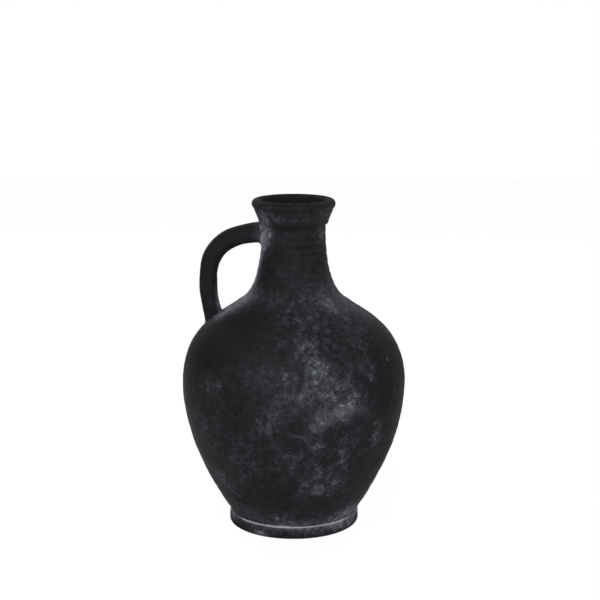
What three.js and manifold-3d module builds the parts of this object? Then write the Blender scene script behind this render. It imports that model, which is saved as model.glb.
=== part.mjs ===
// A terracotta jug with one pulled handle, built from the clay sections that a potter makes and joins.
// Millimetres, +Z up. The origin is the middle of the foot's resting face, and the handle points along -X.
import * as THREE from 'three';
import { mergeVertices } from 'three/addons/utils/BufferGeometryUtils.js';
import Module from 'manifold-3d';

const wasm = await Module();
wasm.setup();

// Heights of the sections, one above the other
const footHeight = 12.7;
const bellyHeight = 132.3;
const shoulderHeight = 81;
const neckLength = 77;
const collarHeight = 27;

// Outer radii of the round body
const footRadius = 65.8;
const restingRadius = 63.9;
const waistRadius = 62.6;
const girthRadius = 112.2;
const neckFootRadius = 57.8;
const throatRadius = 31.6;
const ledgeRadius = 34.3;
const lipRadius = 41.5;

// Thickness of the clay, square to the wall
const floorThickness = 9;
const wallAtWaist = 8;
const wallAtGirth = 7;
const wallAtNeckFoot = 6.6;
const wallAtThroat = 6.3;
const lipRoll = 4.8;

// The foot ring: its bore, its seat for the floor and its worn upper edge
const footBoreRadius = 50;
const footBoreTaper = 2;
const seatDepth = 2.7;
const seatLipDrop = 0.6;
const footBulgeLow = 3;
const footBulgeHigh = 8.5;
const footEdgeRadius = 65.3;

// The gutter above the foot, where the body springs from it
const gutterRise = 4.3;
const gutterReach = 4;
const springLean = THREE.MathUtils.degToRad(37.6);

// The curves of the body: the lean of the wall where the neck starts, and how far each curve pulls
const neckFootLean = THREE.MathUtils.degToRad(51.6);
const springPull = 5;
const girthPullDown = 60.3;
const girthPullUp = 54.8;
const neckFootPullDown = 21;
const neckFootPullUp = 8.3;
const throatPullDown = 68;
const floorCornerReach = 8;

// The collar: its undercut ledge, its flare and the cone of its mouth
const ledgeRise = 3.1;
const ledgeRound = 0.8;
const flareLean = THREE.MathUtils.degToRad(26.6);
const flarePull = 12;
const mouthLean = THREE.MathUtils.degToRad(17.5);
const mouthPull = 16;

// Joints between the sections: a tongue on the lower one stands in a rebate of the upper one
const tongueHeight = 3;
const slipGap = 0.3;

// The handle: a strap that leaves the neck level, bends down and lands on the shoulder
const handleThickness = 17.4;
const handleWidth = 21;
const handleRootSwell = 2.6;
const handleRootLength = 34;
const handleHeadGain = 1.6;
const headEndShare = 0.44;
const slimStartShare = 0.62;
const handleDrop = 6.7;
const handleLandingInset = 32;
const elbowOverhang = 5.5;
const handleLandingLean = THREE.MathUtils.degToRad(8.6);
const strapEndDepth = 4.1;
const neckBury = 7.6;
const elbowShare = 0.37;
const topBow = 58.5;
const elbowBowUp = 25;
const elbowBowDown = 16.5;
const landingBow = 13.6;

// The rolls of soft clay that are smeared round the handle's two roots
const featherThickness = 1.1;
const upperRollReach = 9.5;
const upperRollFlare = 7;
const lowerRollReach = 2.4;
const lowerRollFlare = 3.4;

// How finely round shapes are divided
const turnSegments = 48;
const outerSteps = 9;
const innerSteps = 6;
const bendSteps = 4;
const lipSteps = 5;
const strapSteps = 26;
const clayRollSteps = 7;
const strapSegments = 20;
const strapSquareness = 2.5;
const halvings = 40;
const weldReach = 1e-4;

// The clay under its dark finish, sampled by eye from each part of the jug
const bodyColour = 0x28272a;
const neckColour = 0x272528;
const handleColour = 0x201f20;
const footColour = 0x2e2d31;
const smearColour = 0x56575c;
const wallRoughness = 0.8;
const handledRoughness = 0.75;
const smearRoughness = 0.85;

// Heights above the surface that the jug stands on
const seatHeight = footHeight - seatDepth;
const girthHeight = footHeight + bellyHeight;
const neckFootHeight = girthHeight + shoulderHeight;
const throatHeight = neckFootHeight + neckLength;
const jugHeight = throatHeight + collarHeight;

const point = (radius, height) => new THREE.Vector2(radius, height);
const leaning = (angle) => point(Math.sin(angle), Math.cos(angle));
const along = (start, direction, distance) => start.clone().addScaledVector(direction, distance);

// The outer wall is three curves that run into each other: belly, shoulder and neck
const springPoint = point(waistRadius + gutterReach, footHeight + gutterRise);
const girthPoint = point(girthRadius, girthHeight);
const neckFootPoint = point(neckFootRadius, neckFootHeight);
const throatPoint = point(throatRadius, throatHeight);
const upward = point(0, 1);
const springDirection = leaning(springLean);
const neckFootDirection = leaning(-neckFootLean);

const bellyCurve = new THREE.CubicBezierCurve(
  springPoint,
  along(springPoint, springDirection, springPull),
  along(girthPoint, upward, -girthPullDown),
  girthPoint,
);
const shoulderCurve = new THREE.CubicBezierCurve(
  girthPoint,
  along(girthPoint, upward, girthPullUp),
  along(neckFootPoint, neckFootDirection, -neckFootPullDown),
  neckFootPoint,
);
const neckCurve = new THREE.CubicBezierCurve(
  neckFootPoint,
  along(neckFootPoint, neckFootDirection, neckFootPullUp),
  along(throatPoint, upward, -throatPullDown),
  throatPoint,
);

// Points along a curve, moved inward, square to it, by a distance that changes evenly from end to end
function insetPoints(curve, steps, insetAtStart, insetAtEnd) {
  const points = [];
  for (let step = 0; step <= steps; step += 1) {
    const share = step / steps;
    const tangent = curve.getTangentAt(share);
    const inward = point(-tangent.y, tangent.x);
    const inset = THREE.MathUtils.lerp(insetAtStart, insetAtEnd, share);
    points.push(along(curve.getPointAt(share), inward, inset));
  }
  return points;
}

// The wall's radius at a height; past either end its last stretch runs on straight
function radiusAt(wall, height) {
  const found = wall.findIndex((corner, index) => index > 0 && corner.y >= height);
  const upper = found > 0 ? found : wall.length - 1;
  const high = wall[upper];
  const low = wall[upper - 1];
  return THREE.MathUtils.mapLinear(height, low.y, high.y, low.x, high.x);
}

// The stretch of a wall between two heights, with new points where it is cut
function wallBetween(wall, lowHeight, highHeight) {
  const inside = wall.filter((corner) => corner.y > lowHeight + slipGap && corner.y < highHeight - slipGap);
  const lowEnd = point(radiusAt(wall, lowHeight), lowHeight);
  const highEnd = point(radiusAt(wall, highHeight), highHeight);
  return [lowEnd, ...inside, highEnd];
}

// The height at which the shoulder has a given radius, found by halving
function shoulderHeightAt(radius) {
  let low = 0;
  let high = 1;
  for (let round = 0; round < halvings; round += 1) {
    const middle = (low + high) / 2;
    if (shoulderCurve.getPoint(middle).x > radius) {
      low = middle;
    } else {
      high = middle;
    }
  }
  return shoulderCurve.getPoint(low).y;
}

// The whole wall from waist to throat, with the inset at the waist, girth, neck's foot and throat
function joinedWall(insets, stepsEach) {
  return [
    ...insetPoints(bellyCurve, stepsEach, insets[0], insets[1]),
    ...insetPoints(shoulderCurve, stepsEach, insets[1], insets[2]).slice(1),
    ...insetPoints(neckCurve, stepsEach, insets[2], insets[3]).slice(1),
  ];
}

const outerWall = joinedWall([0, 0, 0, 0], outerSteps);
const innerWall = joinedWall([wallAtWaist, wallAtGirth, wallAtNeckFoot, wallAtThroat], innerSteps);

// A closed profile turned round the jug's upright axis
function turned(profile) {
  const geometry = new THREE.LatheGeometry([...profile, profile[0].clone()], turnSegments);
  return geometry.rotateX(Math.PI / 2);
}

function meshOf(geometry, name, colour, roughness) {
  const material = new THREE.MeshStandardMaterial({ color: colour, roughness, metalness: 0 });
  const mesh = new THREE.Mesh(geometry, material);
  mesh.name = name;
  return mesh;
}

// The middle of the clay at a joint, where the tongue's outer face stands
function jointRadius(seam) {
  const middleHeight = seam + tongueHeight / 2;
  return (radiusAt(outerWall, middleHeight) + radiusAt(innerWall, middleHeight)) / 2;
}

// The top of a lower section: the land at the seam, then the tongue beside the bore
function tongueTop(seam, faceRadius) {
  return [point(faceRadius, seam), point(faceRadius, seam + tongueHeight)];
}

// The underside of an upper section: the rebate round the tongue, then the land at the seam
function rebateBottom(seam, faceRadius) {
  return [
    point(faceRadius + slipGap, seam + tongueHeight + slipGap),
    point(faceRadius + slipGap, seam),
  ];
}

const girthJoint = jointRadius(girthHeight);
const neckJoint = jointRadius(neckFootHeight);
const throatJoint = throatRadius - wallAtThroat / 2;

// The foot ring: a flat resting face, a rounded flank, a worn edge and a seat for the floor
function footRing() {
  const flank = new THREE.QuadraticBezierCurve(
    point(restingRadius, 0),
    point(footRadius, 0),
    point(footRadius, footBulgeLow),
  );
  const seatRadius = waistRadius + slipGap;
  const profile = [
    point(footBoreRadius, 0),
    ...flank.getPoints(bendSteps),
    point(footRadius, footBulgeHigh),
    point(footEdgeRadius, footHeight),
    point(seatRadius, footHeight - seatLipDrop),
    point(seatRadius, seatHeight),
    point(footBoreRadius - footBoreTaper, seatHeight),
  ];
  return meshOf(turned(profile), 'foot_ring', footColour, wallRoughness);
}

// The belly: a floor that sits in the foot ring, the gutter, and the bowl up to the girth
function belly() {
  const gutter = new THREE.QuadraticBezierCurve(
    point(waistRadius, footHeight - seatLipDrop),
    along(springPoint, springDirection, -gutterReach / springDirection.x),
    springPoint,
  );
  const tongueEnd = girthHeight + tongueHeight;
  const bowl = wallBetween(innerWall, innerWall[0].y, tongueEnd).reverse();
  const floorTop = seatHeight + floorThickness;
  const cornerDrop = innerWall[0].y - floorTop;
  const corner = new THREE.QuadraticBezierCurve(
    innerWall[0],
    point(innerWall[0].x - cornerDrop * Math.tan(springLean), floorTop),
    point(innerWall[0].x - cornerDrop - floorCornerReach, floorTop),
  );
  const profile = [
    point(0, seatHeight),
    point(waistRadius, seatHeight),
    ...gutter.getPoints(bendSteps),
    ...wallBetween(outerWall, springPoint.y, girthHeight).slice(1),
    ...tongueTop(girthHeight, girthJoint),
    ...bowl,
    ...corner.getPoints(bendSteps).slice(1),
    point(0, floorTop),
  ];
  return meshOf(turned(profile), 'belly', bodyColour, wallRoughness);
}

// The shoulder: from the girth in to where the neck starts
function shoulder() {
  const tongueEnd = neckFootHeight + tongueHeight;
  const rebateEnd = girthHeight + tongueHeight + slipGap;
  const profile = [
    ...rebateBottom(girthHeight, girthJoint),
    ...wallBetween(outerWall, girthHeight, neckFootHeight),
    ...tongueTop(neckFootHeight, neckJoint),
    ...wallBetween(innerWall, rebateEnd, tongueEnd).reverse(),
  ];
  return meshOf(turned(profile), 'shoulder', bodyColour, wallRoughness);
}

// The neck: drawn in from the shoulder, with a tongue that the collar stands round
function neck() {
  const rebateEnd = neckFootHeight + tongueHeight + slipGap;
  const boreRadius = throatRadius - wallAtThroat;
  const profile = [
    ...rebateBottom(neckFootHeight, neckJoint),
    ...wallBetween(outerWall, neckFootHeight, throatHeight),
    ...tongueTop(throatHeight, throatJoint),
    point(boreRadius, throatHeight + tongueHeight),
    ...wallBetween(innerWall, rebateEnd, throatHeight).reverse(),
  ];
  return meshOf(turned(profile), 'neck', neckColour, wallRoughness);
}

const lipCentre = point(lipRadius - lipRoll, jugHeight - lipRoll);
const flareEnd = along(lipCentre, point(Math.cos(flareLean), -Math.sin(flareLean)), lipRoll);
const ledgePoint = point(ledgeRadius, throatHeight + ledgeRise);

// The collar's outer face: out along the undercut, round the ledge and up the flare
function collarFace(clearance) {
  const flare = new THREE.QuadraticBezierCurve(
    along(ledgePoint, upward, ledgeRound),
    along(flareEnd, leaning(flareLean), -flarePull),
    flareEnd,
  );
  const face = [
    point(throatRadius, throatHeight),
    point(ledgePoint.x - ledgeRound, ledgePoint.y - ledgeRound / 2),
    point(ledgePoint.x - ledgeRound / 4, ledgePoint.y),
    ...flare.getPoints(lipSteps),
  ];
  return face.map((corner) => point(corner.x + clearance, corner.y - clearance));
}

// The mouth collar: the ledge, the flare, the rolled lip and the cone of the mouth
function mouthCollar() {
  const rollArc = (from, to) => new THREE.EllipseCurve(lipCentre.x, lipCentre.y, lipRoll, lipRoll, from, to);
  const outerRoll = rollArc(-flareLean, Math.PI / 2);
  const innerRoll = rollArc(Math.PI / 2, Math.PI - mouthLean);
  const mouthTop = innerRoll.getPoint(1);
  const boreTop = point(throatRadius - wallAtThroat, throatHeight + tongueHeight + slipGap);
  const mouth = new THREE.QuadraticBezierCurve(
    mouthTop,
    along(mouthTop, leaning(mouthLean), -mouthPull),
    boreTop,
  );
  const profile = [
    ...rebateBottom(throatHeight, throatJoint),
    ...collarFace(0),
    ...outerRoll.getPoints(lipSteps).slice(1),
    ...innerRoll.getPoints(bendSteps).slice(1),
    ...mouth.getPoints(bendSteps).slice(1),
  ];
  return meshOf(turned(profile), 'mouth_collar', neckColour, handledRoughness);
}

// Closed meshes to solids that can be cut, and back
function solidOf(geometry) {
  const bare = geometry.clone();
  bare.deleteAttribute('normal');
  bare.deleteAttribute('uv');
  const merged = mergeVertices(bare, weldReach);
  return new wasm.Manifold(new wasm.Mesh({
    numProp: 3,
    vertProperties: new Float32Array(merged.attributes.position.array),
    triVerts: new Uint32Array(merged.index.array),
  }));
}

function geometryOf(solid) {
  const mesh = solid.getMesh();
  const geometry = new THREE.BufferGeometry();
  geometry.setAttribute('position', new THREE.BufferAttribute(new Float32Array(mesh.vertProperties), 3));
  geometry.setIndex(new THREE.BufferAttribute(new Uint32Array(mesh.triVerts), 1));
  geometry.computeVertexNormals();
  return geometry;
}

// The room that the round body takes, grown by the slip gap, which trims whatever is luted to it
function bodyRoom() {
  const wall = joinedWall([-slipGap, -slipGap, -slipGap, -slipGap], outerSteps);
  const body = [point(0, wall[0].y), ...wall, point(0, throatHeight)];
  const lip = lipRadius + slipGap;
  const collar = [
    point(0, throatHeight - slipGap),
    ...collarFace(slipGap),
    point(lip, lipCentre.y),
    point(lip, jugHeight),
    point(0, jugHeight),
  ];
  return solidOf(turned(body)).add(solidOf(turned(collar)));
}

// Where the handle's middle line meets the shoulder. On the sloping shoulder the wall stands higher on the
// strap's inner side and lower on its outer side, where the strap's end has to stay under the surface.
const landingRadius = girthRadius - handleLandingInset;
const landingHeight = shoulderHeightAt(landingRadius);
const outerSideRadius = landingRadius + (handleThickness + handleRootSwell) / 2;
const innerSideRadius = landingRadius - handleThickness / 2 - featherThickness;
const handleBury = landingHeight - shoulderHeightAt(outerSideRadius) + strapEndDepth;

// The handle's middle line, in the plane of the axis and -X
function handleLine() {
  const at = (radius, height) => new THREE.Vector3(-radius, 0, height);
  const rootHeight = throatHeight - handleDrop;
  const elbowHeight = THREE.MathUtils.lerp(landingHeight, rootHeight, elbowShare);
  const elbowRadius = landingRadius + elbowOverhang;
  const inLanding = leaning(handleLandingLean);
  const endRadius = landingRadius - inLanding.x * handleBury;
  const endHeight = landingHeight - inLanding.y * handleBury;
  const line = new THREE.CurvePath();
  line.add(new THREE.CubicBezierCurve3(
    at(throatRadius - neckBury, rootHeight),
    at(throatRadius - neckBury + topBow, rootHeight),
    at(elbowRadius, elbowHeight + elbowBowUp),
    at(elbowRadius, elbowHeight),
  ));
  line.add(new THREE.CubicBezierCurve3(
    at(elbowRadius, elbowHeight),
    at(elbowRadius, elbowHeight - elbowBowDown),
    at(endRadius + inLanding.x * landingBow, endHeight + inLanding.y * landingBow),
    at(endRadius, endHeight),
  ));
  return line;
}

const middleLine = handleLine();
const middleLength = middleLine.getLength();

// A stretch of the handle's middle line between two distances from the neck's end
class LineStretch extends THREE.Curve {
  constructor(from, to) {
    super();
    this.from = from;
    this.to = to;
  }

  getPoint(share, target = new THREE.Vector3()) {
    const distance = THREE.MathUtils.lerp(this.from, this.to, share);
    return target.copy(middleLine.getPoint(distance / middleLength));
  }
}

// The strap is thicker towards both roots, and stays thicker from the neck over the bend, where the potter's
// hand pulls it least
function strapSize(distance) {
  const fromRoot = Math.min(distance, middleLength - distance);
  const nearness = Math.max(0, 1 - fromRoot / handleRootLength);
  const pulled = THREE.MathUtils.smoothstep(distance / middleLength, headEndShare, slimStartShare);
  const gain = handleRootSwell * nearness ** 2 + handleHeadGain * (1 - pulled);
  return { thickness: handleThickness + gain, width: handleWidth + gain };
}

// A rounded strap section of radius one, as even across as it is deep
function unitSection() {
  const corners = [];
  for (let step = 0; step < strapSegments; step += 1) {
    const angle = (step / strapSegments) * 2 * Math.PI;
    const x = Math.sign(Math.cos(angle)) * Math.abs(Math.cos(angle)) ** (2 / strapSquareness);
    const y = Math.sign(Math.sin(angle)) * Math.abs(Math.sin(angle)) ** (2 / strapSquareness);
    corners.push(point(x, y));
  }
  return new THREE.Shape(corners);
}

// The unit section drawn along a stretch of the line, then given its size at each step
function sweptStrap(from, to, steps, sizeAt) {
  const stretch = new LineStretch(from, to);
  const geometry = new THREE.ExtrudeGeometry(
    unitSection(),
    { steps, extrudePath: stretch, bevelEnabled: false },
  );
  const centres = stretch.getSpacedPoints(steps);
  const position = geometry.attributes.position;
  const vertex = new THREE.Vector3();
  for (let index = 0; index < position.count; index += 1) {
    vertex.fromBufferAttribute(position, index);
    const gaps = centres.map((centre) => centre.distanceToSquared(vertex));
    const step = gaps.indexOf(Math.min(...gaps));
    const size = sizeAt(THREE.MathUtils.lerp(from, to, step / steps));
    vertex.sub(centres[step]);
    vertex.multiply(new THREE.Vector3(size.thickness / 2, size.width / 2, size.thickness / 2));
    vertex.add(centres[step]);
    position.setXYZ(index, vertex.x, vertex.y, vertex.z);
  }
  return solidOf(geometry);
}

function grown(size, growth) {
  return { thickness: size.thickness + 2 * growth, width: size.width + 2 * growth };
}

// The handle: the strap from the neck to the shoulder, trimmed to both
function handle(room) {
  const strap = sweptStrap(0, middleLength, strapSteps, strapSize);
  return meshOf(geometryOf(strap.subtract(room)), 'handle', handleColour, handledRoughness);
}

// A roll of soft clay round one root: widest at the strap's end, feathered out along it.
// The strap's end and the roll's edge are distances along the middle line.
function rootRoll(room, name, strapEnd, rollEdge, flare) {
  const spread = Math.abs(rollEdge - strapEnd);
  const rollSize = (distance) => {
    const nearness = 1 - Math.abs(distance - strapEnd) / spread;
    return grown(strapSize(distance), featherThickness + flare * nearness ** 2);
  };
  const boreSize = (distance) => grown(strapSize(distance), slipGap);
  const from = Math.min(strapEnd, rollEdge);
  const to = Math.max(strapEnd, rollEdge);
  const roll = sweptStrap(from, to, clayRollSteps, rollSize);
  const bore = sweptStrap(0, middleLength, strapSteps, boreSize);
  return meshOf(geometryOf(roll.subtract(bore).subtract(room)), name, smearColour, smearRoughness);
}

function upperHandleClay(room) {
  return rootRoll(room, 'upper_handle_clay', 0, neckBury + upperRollReach, upperRollFlare);
}

function lowerHandleClay(room) {
  const slopeRise = shoulderHeightAt(innerSideRadius) - landingHeight;
  const rollEdge = middleLength - handleBury - slopeRise - lowerRollReach;
  return rootRoll(room, 'lower_handle_clay', middleLength, rollEdge, lowerRollFlare);
}

const jug = new THREE.Group();
const room = bodyRoom();
jug.add(footRing());
jug.add(belly());
jug.add(shoulder());
jug.add(neck());
jug.add(mouthCollar());
jug.add(handle(room));
jug.add(upperHandleClay(room));
jug.add(lowerHandleClay(room));

export default jug;
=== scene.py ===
# %% [markdown]
# # A terracotta jug, dressed over its fixed frame
# The real jug is thrown on a wheel in sections, luted together and given one pulled handle. Then it is
# dipped in a charcoal slip and rubbed with a thin pale wash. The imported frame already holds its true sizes.
# Here each section gets a finer skin of its own, which stands in the place of its plain solid, so nothing
# has to be fitted by eye.

# %% Load the frame
import math
import random

import bpy
import numpy as np
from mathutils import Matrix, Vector


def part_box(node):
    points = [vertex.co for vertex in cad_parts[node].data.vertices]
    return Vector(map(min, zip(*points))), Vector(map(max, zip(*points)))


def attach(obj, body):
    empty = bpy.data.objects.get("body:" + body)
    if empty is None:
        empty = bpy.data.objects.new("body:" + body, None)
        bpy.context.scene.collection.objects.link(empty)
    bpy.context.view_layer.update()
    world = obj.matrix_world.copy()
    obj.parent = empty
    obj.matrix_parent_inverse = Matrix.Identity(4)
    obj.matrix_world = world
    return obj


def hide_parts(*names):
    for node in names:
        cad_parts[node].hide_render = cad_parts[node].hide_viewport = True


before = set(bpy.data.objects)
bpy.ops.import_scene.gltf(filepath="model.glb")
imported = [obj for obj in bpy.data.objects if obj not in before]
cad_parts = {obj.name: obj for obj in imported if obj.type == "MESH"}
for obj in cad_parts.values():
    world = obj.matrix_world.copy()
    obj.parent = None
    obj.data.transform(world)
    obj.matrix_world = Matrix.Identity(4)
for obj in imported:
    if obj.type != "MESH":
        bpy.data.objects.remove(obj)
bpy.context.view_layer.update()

MM = 0.001

# %% [markdown]
# ## The sizes that everything hangs on
# Each section's box in the frame gives the heights of the joints and the widest radii. The few sizes that a
# box can't tell, such as wall thickness and the lean of a curve, are written here once, by name.

# %% Heights and radii that the frame gives
foot_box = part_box("foot_ring")
belly_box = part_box("belly")
shoulder_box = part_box("shoulder")
neck_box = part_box("neck")
collar_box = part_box("mouth_collar")

FOOT_TOP = foot_box[1].z
FOOT_RADIUS = foot_box[1].x
SEAT_HEIGHT = belly_box[0].z
GIRTH_HEIGHT = shoulder_box[0].z
GIRTH_RADIUS = shoulder_box[1].x
TONGUE = belly_box[1].z - GIRTH_HEIGHT
NECK_FOOT_HEIGHT = neck_box[0].z
NECK_FOOT_RADIUS = neck_box[1].x
THROAT_HEIGHT = collar_box[0].z
JUG_HEIGHT = collar_box[1].z
LIP_RADIUS = collar_box[1].x
print("girth radius", round(GIRTH_RADIUS / MM, 1), "jug height", round(JUG_HEIGHT / MM, 1))

# %% Sizes that a box can't tell
THROAT_RADIUS = 31.6 * MM
LEDGE_RADIUS = 34.3 * MM
LEDGE_RISE = 3.1 * MM
LEDGE_ROUND = 0.8 * MM
LIP_ROLL = 4.8 * MM
RESTING_RADIUS = 63.9 * MM
FOOT_BORE = 50 * MM
FOOT_BORE_TOP = 48 * MM
FOOT_BULGE_LOW = 3 * MM
FOOT_BULGE_HIGH = 8.5 * MM
ARRIS_RADIUS = 65.3 * MM
SLIP_GAP = 0.3 * MM
FLOOR_TOP = SEAT_HEIGHT + 9 * MM
WALL_AT_WAIST = 8 * MM
WALL_AT_GIRTH = 7 * MM
WALL_AT_NECK_FOOT = 6.6 * MM
WALL_AT_THROAT = 6.3 * MM
SPRING_RADIUS = 66.6 * MM
SPRING_HEIGHT = FOOT_TOP + 4.3 * MM
SPRING_LEAN = math.radians(37.6)
NECK_FOOT_LEAN = math.radians(-51.6)
FLARE_LEAN = math.radians(26.6)
MOUTH_LEAN = math.radians(17.5)

# %% [markdown]
# ## The thrown wall as one drawn line
# A potter thinks of a jug as one profile line that the wheel turns. A curve object with a screw modifier
# would do it too, but plain arrays make it easy to press finger marks into the wall later. The line is three
# smooth curves, belly, shoulder and neck, that flow into each other.

# %% Helpers for drawing lines of radius and height
def leaning(angle):
    return np.array([math.sin(angle), math.cos(angle)])


def bezier(*corners, steps=200):
    share = np.linspace(0, 1, steps + 1)[:, None]
    points = [np.array(corner, float) + 0 * share for corner in corners]
    while len(points) > 1:
        points = [low + (high - low) * share for low, high in zip(points, points[1:])]
    return points[0]


def distance_along(line):
    steps = np.linalg.norm(np.diff(line, axis=0), axis=1)
    return np.concatenate([[0], np.cumsum(steps)])


def points_at(line, along, places):
    """The points of a line at some places along it, where along holds the distance of each of its points."""
    return np.column_stack([np.interp(places, along, line[:, axis]) for axis in range(line.shape[1])])


def evenly(line, step):
    """The same line with points about one step apart."""
    line = np.array(line, float)
    along = distance_along(line)
    places = np.linspace(0, along[-1], max(1, round(along[-1] / step)) + 1)
    return points_at(line, along, places)


def square_to(line):
    """For each point of a line, the direction to the left of its way."""
    tangent = np.gradient(line, axis=0)
    tangent /= np.linalg.norm(tangent, axis=1)[:, None]
    return np.column_stack([-tangent[:, 1], tangent[:, 0]])


def pushed_inward(line, at_start, at_end):
    """A rising line moved towards the hollow, square to itself."""
    along = distance_along(line)
    depth = at_start + (at_end - at_start) * along / along[-1]
    return line + square_to(line) * depth[:, None]


# %% The three curves of the outer wall
# how far each curve keeps to its way from its low end and from its high end
BELLY_PULLS = (5 * MM, 60.3 * MM)
SHOULDER_PULLS = (54.8 * MM, 21 * MM)
NECK_PULLS = (8.3 * MM, 68 * MM)

spring = np.array([SPRING_RADIUS, SPRING_HEIGHT])
girth = np.array([GIRTH_RADIUS, GIRTH_HEIGHT])
neck_foot = np.array([NECK_FOOT_RADIUS, NECK_FOOT_HEIGHT])
throat = np.array([THROAT_RADIUS, THROAT_HEIGHT])
upright = leaning(0)
spring_way = leaning(SPRING_LEAN)
neck_foot_way = leaning(NECK_FOOT_LEAN)


def wall_curve(low, low_way, high, high_way, pulls):
    """A smooth line that leaves its low end one way and reaches its high end another way."""
    return bezier(low, low + low_way * pulls[0], high - high_way * pulls[1], high)


belly_curve = wall_curve(spring, spring_way, girth, upright, BELLY_PULLS)
shoulder_curve = wall_curve(girth, upright, neck_foot, neck_foot_way, SHOULDER_PULLS)
neck_curve = wall_curve(neck_foot, neck_foot_way, throat, upright, NECK_PULLS)
for name, curve in (("belly", belly_curve), ("shoulder", shoulder_curve), ("neck", neck_curve)):
    print(name, "line is", round(distance_along(curve)[-1] / MM), "mm long")

# %% The gutter over the foot, and the foot's own flank
# the arris is the foot's upper edge: the flank turns over it into the gutter, and the wall rises from there
GUTTER_IN = 4.2 * MM
GUTTER_DOWN = 1.3 * MM
ARRIS_IN = 0.9 * MM
ARRIS_DOWN = 0.02 * MM
ARRIS_OUT = 0.25 * MM
ARRIS_DEPTH = 1.6 * MM
ARRIS_CROWN = 0.05 * MM

foot_arris = np.array([ARRIS_RADIUS, FOOT_TOP])
gutter_pull = (SPRING_RADIUS - GUTTER_IN, FOOT_TOP - GUTTER_DOWN)
gutter = bezier(foot_arris - (ARRIS_IN, ARRIS_DOWN), gutter_pull, spring)
deepest = int(np.argmin(gutter[:, 0]))
bulge_low = (FOOT_RADIUS, FOOT_BULGE_LOW)
bulge_high = (FOOT_RADIUS, FOOT_BULGE_HIGH)
arris_foot = (ARRIS_RADIUS + ARRIS_OUT, FOOT_TOP - ARRIS_DEPTH)
flank = np.vstack([
    bezier((RESTING_RADIUS, 0), (FOOT_RADIUS, 0), bulge_low),
    bezier(bulge_low, bulge_high, arris_foot)[1:],
    bezier(arris_foot, foot_arris + ARRIS_CROWN, gutter[0])[1:],
])
print("gutter is deepest at radius", round(gutter[deepest, 0] / MM, 2), "mm")

# %% The collar: undercut, ledge, flare, rolled lip and the cone of the mouth
UNDERCUT_RISE = 1.6 * MM
UNDERCUT_PULL = (1.3 * MM, 0.5 * MM)
LEDGE_START = (0.8 * MM, 0.3 * MM)
FLARE_PULL = 12 * MM
MOUTH_PULL = 16 * MM
LIP_STEPS = 40

ledge = np.array([LEDGE_RADIUS, THROAT_HEIGHT + LEDGE_RISE])
lip_centre = np.array([LIP_RADIUS - LIP_ROLL, JUG_HEIGHT - LIP_ROLL])
lip_turns = np.linspace(-FLARE_LEAN, math.pi - MOUTH_LEAN, LIP_STEPS)
lip_arc = lip_centre + LIP_ROLL * np.column_stack([np.cos(lip_turns), np.sin(lip_turns)])

undercut_end = ledge - LEDGE_START
ledge_top = ledge + upright * LEDGE_ROUND
undercut = bezier(throat, throat + upright * UNDERCUT_RISE, ledge - UNDERCUT_PULL, undercut_end)
ledge_corner = bezier(undercut_end, ledge, ledge_top)
flare = bezier(ledge_top, lip_arc[0] - leaning(FLARE_LEAN) * FLARE_PULL, lip_arc[0])
collar_face = np.vstack([undercut, ledge_corner[1:], flare[1:], lip_arc[1:]])

bore_top = np.array([THROAT_RADIUS - WALL_AT_THROAT, THROAT_HEIGHT + TONGUE + SLIP_GAP])
mouth_cone = bezier(lip_arc[-1], lip_arc[-1] - leaning(MOUTH_LEAN) * MOUTH_PULL, bore_top)
print("mouth narrows from", round(2 * lip_arc[-1, 0] / MM), "to", round(2 * bore_top[0] / MM), "mm")

# %% The whole outer line up to the ledge, and the hollow side of the wall
wall_outside = np.vstack([
    gutter[deepest:],
    belly_curve[1:],
    shoulder_curve[1:],
    neck_curve[1:],
    undercut[1:],
    ledge_corner[1:],
])
belly_inside = pushed_inward(belly_curve, WALL_AT_WAIST, WALL_AT_GIRTH)
shoulder_inside = pushed_inward(shoulder_curve, WALL_AT_GIRTH, WALL_AT_NECK_FOOT)
neck_inside = pushed_inward(neck_curve, WALL_AT_NECK_FOOT, WALL_AT_THROAT)
wall_inside = np.vstack([belly_inside, shoulder_inside[1:], neck_inside[1:]])


def radius_of(line, height):
    return np.interp(height, line[:, 1], line[:, 0])


def stretch(line, low, high):
    """The part of a rising line between two heights, with exact ends."""
    inside = line[(line[:, 1] > low) & (line[:, 1] < high)]
    start = (radius_of(line, low), low)
    end = (radius_of(line, high), high)
    return np.vstack([start, inside, end])


print("wall lines have", len(wall_outside), "points outside and", len(wall_inside), "inside")

# %% [markdown]
# ## The potter's hand
# No thrown wall is a true surface of revolution. The fingers climb while the wheel turns and leave a slow
# spiral of shallow rings, plain to see on the slender neck, and luting and drying leave soft dents. A
# displacement texture could fake this, but a function of angle and height lets neighbouring sections share
# the same marks, so their joints don't show. At the widest height the marks go inward only, so that the skin
# stays inside the frame.

# %% Soft steps and bumps, by which marks and paint fade in and out
def near(value, place, reach):
    """One at the place, fading to nothing at a few times the reach."""
    return np.exp(-((value - place) / reach) ** 2)


def smooth_step(value, low, high):
    """From none at the low value to one at the high value."""
    share = np.clip((value - low) / (high - low), 0, 1)
    return share * share * (3 - 2 * share)


def between(low, high, share):
    return low + (high - low) * share


# %% Slow dents and finger rings as functions of angle and height
potter = random.Random(11)


def hand_waves(count, most_turns, shortest, longest):
    """Waves that run round and up the wall, each with a number of turns, a pitch and a phase."""
    waves = []
    for _ in range(count):
        turns = potter.randint(-most_turns, most_turns)
        pitch = potter.uniform(shortest, longest) * MM * potter.choice((-1, 1))
        waves.append((turns, pitch, potter.uniform(0, math.tau)))
    return waves


BROAD_DENTS = hand_waves(9, 5, 60, 190)
SMALL_DENTS = hand_waves(22, 26, 16, 46)
RING_WAVER = hand_waves(5, 3, 40, 120)
RING_SWAY = 0.9
RIDGE_POWER = 0.7


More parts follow.
